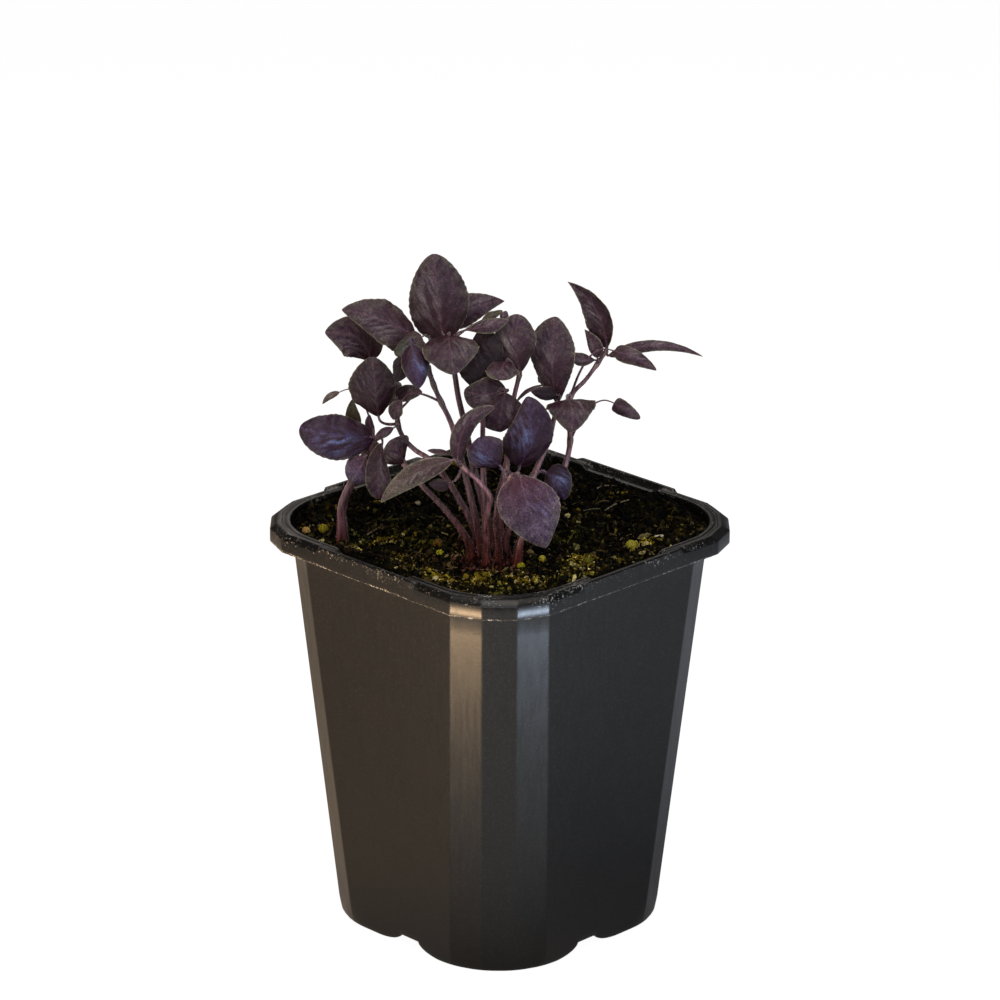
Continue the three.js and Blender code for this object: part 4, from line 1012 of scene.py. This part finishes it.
# %% Leaf surface
PLANT_TURN = np.radians(-45)
BLADE, LEAF_STEP, LEAF_SEED = 0.36, 0.28, 100
LARGE_LEAF, EDGE_WAVE = 4.0, 0.3
RIB_WIDTH, RIB_DEPTH, VEIN_WIDTH, VEIN_DEPTH, EDGE_WIDTH = 0.22, 0.18, 0.2, 0.05, 0.26
VEIN_SLANT, VEIN_BEND = 0.9, 0.09
# where the painted highlight sits across the blade, and its half widths across and along
PAINTED_HIGHLIGHT_AT, PAINTED_HIGHLIGHT_HALF = -0.3, (0.42, 0.24)
TONES = {
    # tone: blade, edge, veins, reddish base, underside, green showing through, painted highlight and its
    # amount
    DARK: ("#381B2F", "#B0A98C", "#6A4658", "#2A0A0E", "#3E1828", "#5A5648", "#9A9090", 0.42),
    # painted shade: the dark tone made darker, for leaves that lie in shade inside the plant
    PAINTED_SHADE: ("#1E0812", "#6E6252", "#2E141E", "#140409", "#1E0A12", "#241512", "#32202A", 0.2),
    PAINTED_GLOSS: ("#321630", "#A8A678", "#54406A", "#2C0C16", "#3E1830", "#4A404A", "#7682B4", 0.75),
    PALE: ("#584460", "#C8C0A8", "#806878", "#4A1E2A", "#4A2638", "#7A726A", "#78769C", 0.45),
    DUSTY: ("#54433F", "#C8C0A4", "#7C6A66", "#42222A", "#4A2C38", "#7E7A68", "#968E88", 0.5),
    MISTY: ("#3B3A34", "#8A8C70", "#5A5852", "#442A2A", "#40303A", "#5C6052", "#5E6478", 0.8),
    OLIVE: ("#38331F", "#8A8460", "#5A4E3C", "#45242A", "#3C2428", "#5C583C", "#55523C", 0.4),
}


def blend(a, b, share):
    """Part of the way from one colour to another: a (1 - share) + b share."""
    return a * (1 - share) + b * share


def turned(points):
    """From the plant's own axes to the pot's: a turn about the upright axis."""
    c, s = np.cos(PLANT_TURN), np.sin(PLANT_TURN)
    return points @ np.array([[c, s, 0], [-s, c, 0], [0, 0, 1]])


def leaf_rib(base, tip, face, arch, sweep, s):
    """The rib at shares s of its length, with the directions across the blade and out of its upper
    side. The rib is (1-s)^2 base + 2s(1-s) bow + s^2 tip, and its slope gives the way ahead."""
    base, tip = np.array(base, float), np.array(tip, float)
    along = unit(tip - base)
    top = unit(np.array(face, float) - np.dot(face, along) * along)
    bow = (base + tip) / 2 + 2 * arch * top + 2 * sweep * np.cross(along, top)
    s = s[:, None]
    centre = (1 - s) ** 2 * base + 2 * s * (1 - s) * bow + s * s * tip
    ahead = unit((1 - s) * (bow - base) + s * (tip - bow))
    normal = unit(top - (ahead * top).sum(1, keepdims=True) * ahead)
    return centre, np.cross(ahead, normal), normal


def leaf_form(leaf, number):
    """Both faces of a blade as one closed grid. Row by row the points go over the upper side from
    edge to edge and back along the lower side. Heights, in mm: the rib is a groove above and a ridge
    below, side veins are fine grooves, the blade swells between them, and wrinkles run outwards and
    on along it. Colours follow the same distances: from the rib, from the veins and from the edge."""
    _, base, tip, half, face, arch, cup, widest, blunt, sweep, tone = leaf
    rng = np.random.default_rng(LEAF_SEED + number)
    length = np.linalg.norm(np.subtract(tip, base))
    width = half[0] + half[1]
    rows = int(np.clip(length / LEAF_STEP, 16, 80))
    cols = int(np.clip(width / LEAF_STEP, 9, 56)) | 1
    q = np.linspace(0, 1, rows)
    s = 0.004 + 0.992 * (0.5 - 0.5 * np.cos(np.pi * q)) * 0.5 + 0.992 * q * 0.5
    t = np.sin(np.linspace(-np.pi / 2, np.pi / 2, cols)) * 0.45 + np.linspace(-1, 1, cols) * 0.55
    centre, across, normal = leaf_rib(base, tip, face, arch, sweep, s)
    left, across_s, along_s = t < 0, np.abs(t), s[:, None]
    power = np.log(0.5) / np.log(np.where(left, *widest))
    swell = np.sin(np.pi * along_s ** power) ** blunt
    half_width = np.where(left, *half) * swell
    teeth = 1 + 0.012 * np.sin(2 * np.pi * along_s * length / 1.7 + number) * across_s ** 6
    x = t * half_width * teeth
    distance, run = np.abs(x), along_s * length
    pitch = np.clip(length / 6.0, 1.4, 4.0)
    phase = (run - VEIN_SLANT * distance - VEIN_BEND * distance ** 2) / pitch + 0.25 * ~left
    from_vein = (np.abs((phase % 1) - 0.5) - 0.5) * pitch * 0.7
    vein = np.exp(-(from_vein / VEIN_WIDTH) ** 2) * np.clip(1.15 - across_s, 0, 1)
    vein = vein * np.clip(half_width / 2, 0, 1)
    rib = np.exp(-(distance / RIB_WIDTH) ** 2)
    large = width > 2 * LARGE_LEAF
    wave = EDGE_WAVE * np.sin(5 * np.pi * along_s + half[0]) * np.sign(t) if large else 0
    ripple = np.sin(2 * np.pi * run / 4.6 + rng.uniform(0, 6))
    ripple = ripple + 0.7 * noise(run, 9 * np.sign(t), 2.2, 70 + number)
    curl = min(0.3, 0.03 * width) * ripple * across_s ** 3 * swell
    pucker = 0.13 * np.sin(np.pi * phase) ** 2 * (1 - t * t) * np.clip(half_width / 4, 0, 1)
    wrinkle = noise(1.6 * (distance - 0.4 * run) + 2 * number, 0.35 * run - 4 * number, 0.75, 20 + number)
    pucker = pucker + 0.04 * wrinkle * swell
    dimple = 0.16 * noise(run + 11 * number, x + 5 * number, 1.9, 40 + number) * swell
    height = (cup + wave) * t * t * swell + curl + pucker + dimple
    height = height - RIB_DEPTH * rib * swell - VEIN_DEPTH * vein
    thick = BLADE / 2 * (0.35 + 0.65 * np.sqrt(1 - 0.999 * t * t)) * np.clip(swell * 2, 0.3, 1)
    ridge = (0.22 * rib + 0.1 * vein) * np.clip(1.1 - along_s, 0, 1) * min(1, width / 8)

    flat = centre[:, None] + x[..., None] * across[:, None]
    upper = flat + (height + thick)[..., None] * normal[:, None]
    lower = flat + (height - thick - ridge)[..., None] * normal[:, None]
    points = np.concatenate([upper, lower[:, ::-1]], axis=1)

    blade, rim, veins, red, under, green, painted_highlight = colour_rows(TONES[tone][:7])
    shade = rng.uniform(0.85, 1.2)
    cloud = 1 + 0.3 * noise(run + 7 * number, x + 3 * number, 2.6, number)
    fleck = noise(run + 5 * number, x + number, 0.55, 300 + number)
    through = 0.5 * across_s ** 3 + 0.3 * along_s ** 3 + 0.4 * fleck + 0.5 * (cloud - 1)
    edge = np.clip(1 - (1 - across_s) * half_width / EDGE_WIDTH, 0, 1)
    edge = edge * (0.6 + 0.5 * noise(run, 5 * np.sign(t), 1.1, 90 + number))
    edge = edge[..., None] * min(1, width / 4)
    low = np.clip(1.15 - along_s / 0.6, 0, 1) * np.clip(1.25 - 0.6 * across_s - 0.25 * wrinkle, 0, 1)
    low = low[..., None] * min(1, width / 8)
    line = np.clip(0.8 * rib + 0.3 * vein, 0, 1)[..., None]
    # painted highlight: a sheen in the tone's highlight colour, painted on one half of the blade and
    # broken up by the wrinkles
    painted_highlight_share = np.exp(-((t - PAINTED_HIGHLIGHT_AT) / PAINTED_HIGHLIGHT_HALF[0]) ** 2 - ((along_s - 0.5) / PAINTED_HIGHLIGHT_HALF[1]) ** 2)
    painted_highlight_share = (TONES[tone][7] * painted_highlight_share * np.clip(0.3 + 0.9 * wrinkle, 0, 1))[..., None]
    uneven = (shade * cloud)[..., None]
    top_colour = blend(blade * uneven, green * shade, np.clip(through, 0, 0.85)[..., None])
    # painted light and shade: the wrinkles lighten and darken the colour by up to a fifth
    top_colour = blend(top_colour, red, 0.92 * low) * (1 + 0.2 * wrinkle)[..., None]
    for tint, share in ((painted_highlight, painted_highlight_share), (veins, 0.55 * line), (rim, 0.7 * edge)):
        top_colour = blend(top_colour, tint, share)
    low_colour = blend(blend(under * uneven, veins, 0.5 * line), rim, 0.5 * edge)
    colours = np.concatenate([top_colour, low_colour[:, ::-1]], axis=1)
    form = capped(turned(points))
    form["faces"] = [block[:, ::-1] for block in form["faces"]]
    form["colours"] = colours.reshape(-1, 3)
    return form


# %% [markdown]
# ## Stems and stalks
#
# Stems and stalks are tapered tubes. Where a leaf leaves it, a stem thickens into a joint, and at its
# foot it flares where it meets the roots. Young stems are covered in short white hairs. Each hair is
# a spike with three sides.

# %% Stems and stalks
STALK, THICK_STEM, ROOT_DEPTH = 0.42, 1.2, 9
STEM_SIDES, STALK_SIDES, STALK_POINTS = 14, 10, 34
# the side of the stems that gets the painted highlight, as an angle round the stem
PAINTED_HIGHLIGHT_SIDE = np.radians(150)
STEM_LOW, STEM_HIGH, STEM_DARK, STEM_GREEN = "#481C13", "#76545A", "#3E2834", "#7A6E58"
RED_UP_TO = 24


def stem_path(route):
    """The stem's route, after a straight stretch up out of the soil, with its root end."""
    foot = (*route[0][:2], SOIL_LEVEL - ROOT_DEPTH)
    return smooth_path([foot, *route], 14 * len(route))


def stem_tint(path, swell, red_up_to):
    """Red-brown in the soil, mauve from a height up, then as dark as a leaf; greener at a joint."""
    low, high, dark, green = colour_rows([STEM_LOW, STEM_HIGH, STEM_DARK, STEM_GREEN])
    up = path[:, 2:] - SOIL_LEVEL
    tint = blend(low, high, np.clip(up / red_up_to, 0, 1) ** 1.2)
    return blend(blend(tint, dark, 0.7 * np.clip((up - 28) / 18, 0, 1)), green, 0.3 * swell)


def stem_form(ends, route, leaves):
    """The radius falls evenly from foot to top, and swells by a bell curve at each leaf's joint.
    A painted highlight makes one side of a stem paler, by a cosine to the power 4 round it.
    A thick stem is less red."""
    path = stem_path(route)
    thick, thin = ends
    share = np.linspace(0, 1, len(path))
    joints = np.array([route[leaf[0]] for leaf in leaves], float)
    near = np.linalg.norm(path[:, None] - joints[None], axis=2).min(1)
    swell = np.exp(-(near / 1.3) ** 2)
    flare = 0.75 * np.exp(-np.maximum(path[:, 2] - SOIL_LEVEL, 0) / 3.5)
    radii = thick + (thin - thick) * share + 0.22 * swell + flare
    tint = stem_tint(path, swell[:, None], RED_UP_TO * (1 if thick < THICK_STEM else 0.3))
    form = tube(turned(path), radii, STEM_SIDES, tint)
    around = np.linspace(0, 2 * np.pi, STEM_SIDES, endpoint=False)
    # painted highlight: one side of the stem is made paler
    painted_side_highlight = 0.8 + 1.6 * np.clip(np.cos(around - PAINTED_HIGHLIGHT_SIDE), 0, 1)[:, None] ** 4
    form["colours"] = (form["colours"].reshape(len(path), STEM_SIDES, 3) * painted_side_highlight).reshape(-1, 3)
    return form, path, radii


def stalk_form(leaf, start):
    """From the stem, round a quadratic bend into line with the blade, and on below it as the rib."""
    _, base, tip, half, face, arch, _, _, _, sweep, tone = leaf
    base, tip, start = (np.array(v, float) for v in (base, tip, start))
    bend = base - 0.45 * np.linalg.norm(base - start) * unit(tip - base)
    u = np.array([0, 0.2, 0.4, 0.6, 0.8])[:, None]
    free = (1 - u) ** 2 * start + 2 * u * (1 - u) * bend + u * u * base
    centre, _, normal = leaf_rib(base, tip, face, arch, sweep, np.array([0.03, 0.1, 0.22, 0.4]))
    drop = np.array([0.1, 0.22, 0.28, 0.3])[:, None]
    path = smooth_path(np.concatenate([free, centre - drop * normal]), STALK_POINTS)
    thin = min(1.0, 0.72 + (half[0] + half[1]) / 30)
    radii = STALK * thin * np.linspace(1.05, 0.35, STALK_POINTS)
    fade = np.linspace(0, 1, STALK_POINTS)[:, None] ** 1.5
    tint = blend(stem_tint(path, 0, RED_UP_TO) * 0.85, colour_rows([TONES[tone][2]]), fade)
    return tube(turned(path), radii, STALK_SIDES, tint), path, radii


# %% Hairs
HAIRS_PER_MM = 20
HAIR_LENGTH, HAIR_RADIUS, HAIRY_POINTS = 0.34, 0.024, 22
THIRDS_OF_A_TURN = (0, 2.094, 4.189)


def hair_form(rng, path, radii):
    """Spikes on a tube: each stands on the surface at a random place, leans a little up the stem,
    and is a triangle of three points drawn out to a tip."""
    run = np.linalg.norm(np.diff(path, axis=0), axis=1).sum()
    count = max(6, int(HAIRS_PER_MM * run))
    spot = rng.uniform(0.03, 0.98, count) * (len(path) - 1)
    k = spot.astype(int)
    mix = (spot - k)[:, None]
    centre = path[k] * (1 - mix) + path[k + 1] * mix
    first, second = path_frames(path)
    a = rng.uniform(0, 2 * np.pi, count)[:, None]
    out = np.cos(a) * first[k] + np.sin(a) * second[k]
    ahead = np.cross(first[k], second[k])
    lean = unit(out + rng.normal(0, 0.3, (count, 3)) + 0.15 * ahead)
    foot = centre + out * (radii[k][:, None] * 0.92)
    side = unit(np.cross(lean, ahead))
    corner = [foot + HAIR_RADIUS * (np.cos(b) * side + np.sin(b) * np.cross(lean, side))
              for b in THIRDS_OF_A_TURN]
    tip = foot + lean * HAIR_LENGTH * rng.uniform(0.5, 1.3, (count, 1))
    points = np.stack([*corner, tip], axis=1).reshape(-1, 3)
    shape = np.array([[0, 1, 3], [1, 2, 3], [2, 0, 3], [0, 2, 1]])
    faces = (shape[None] + 4 * np.arange(count)[:, None, None]).reshape(-1, 3)
    return {"points": turned(points), "faces": [faces]}


# %% [markdown]
# ## Finishes of the plant
#
# Purple basil carries its colour in the skin of the leaf, over green: where the skin is thin, at the
# edge, green shows through as olive. The skin is waxy, so a blade has a broad satin gloss, and a
# scatter of short hairs dulls it. Its bluish and silvery sheen is a painted highlight in the leaf's
# colour. A stem is juicy and lets a little light in, so it gets some subsurface light.

# %% Leaf, stem and hair finishes
leaf_skin, add = new_material("waxy purple basil leaf")
tint = add("Attribute", attribute_name="tint")
place = add("TexCoord").outputs["Object"]
cells = add("TexNoise", {"Vector": place, "Scale": 1 / (0.42 * MM), "Detail": 5, "Roughness": 0.65})
clouds = add("TexNoise", {"Vector": place, "Scale": 1 / (3.2 * MM), "Detail": 3})
shade = add("MapRange", [cells, 0.32, 0.68, 0.4, 1.6])
skin = add("VectorMath", {0: tint, "Scale": shade}, operation="SCALE")
hairy = add("TexVoronoi", {"Vector": place, "Scale": 1 / (0.55 * MM)}, feature="F1")
dots = add("MapRange", [hairy, 0.12, 0.3, 2.2, 1])
colour = add("VectorMath", {0: skin, "Scale": dots}, operation="SCALE")
gloss = add("MapRange", [clouds, 0.3, 0.7, 0.3, 0.46])
bump = add("Bump", {"Height": cells, "Strength": 0.75, "Distance": 0.2 * MM})
add("OutputMaterial", [add("BsdfPrincipled", {
    "Base Color": colour, "Roughness": gloss, "IOR": 1.45, "Specular IOR Level": 0.35,
    "Sheen Weight": 0.04, "Sheen Roughness": 0.4, "Sheen Tint": "#B9A8C8", "Normal": bump})])

stem_skin, add = new_material("juicy mauve stem")
tint = add("Attribute", attribute_name="tint")
fibres = add("Mapping", {"Vector": add("TexCoord").outputs["Object"], "Scale": (1, 1, 0.07)})
streaks = add("TexNoise", {"Vector": fibres, "Scale": 1 / (0.8 * MM), "Detail": 2})
shade = add("MapRange", [streaks, 0.34, 0.66, 0.45, 1.6])
colour = add("VectorMath", {0: tint, "Scale": shade}, operation="SCALE")
bump = add("Bump", {"Height": streaks, "Strength": 0.2, "Distance": 0.1 * MM})
add("OutputMaterial", [add("BsdfPrincipled", {
    "Base Color": colour, "Roughness": 0.22, "IOR": 1.48, "Sheen Weight": 0.35, "Sheen Roughness": 0.3,
    "Sheen Tint": "#E8CDD6", "Subsurface Weight": 0.12, "Subsurface Scale": 0.6 * MM, "Normal": bump})])

hair_white, add = new_material("white plant hair")
add("OutputMaterial", [add("BsdfPrincipled", {"Base Color": "#D8C4C4", "Roughness": 0.5})])

# %% [markdown]
# ## Growing the plant
#
# Each stem becomes three pieces: its blades, its stem with the stalks, and its hairs. All three stand
# for the same CAD node.

# %% Stems, leaves and hairs
number = 0
for name, (ends, route, leaves) in STEMS.items():
    rng = np.random.default_rng(len(name) + 31 * len(leaves))
    trunk, path, radii = stem_form(ends, route, leaves)
    above = path[:, 2] > SOIL_LEVEL + 0.5
    tubes, hairs, blades = [trunk], [hair_form(rng, path[above], radii[above])], []
    for leaf in leaves:
        form, stalk_path, stalk_radii = stalk_form(leaf, route[leaf[0]])
        tubes.append(form)
        hairs.append(hair_form(rng, stalk_path[:HAIRY_POINTS], stalk_radii[:HAIRY_POINTS]))
        blades.append(leaf_form(leaf, number))
        number += 1
    make_piece(name + "_blades", blades, leaf_skin, name)
    make_piece(name + "_stalks", tubes, stem_skin, name)
    make_piece(name + "_hairs", hairs, hair_white, name, smooth=False)
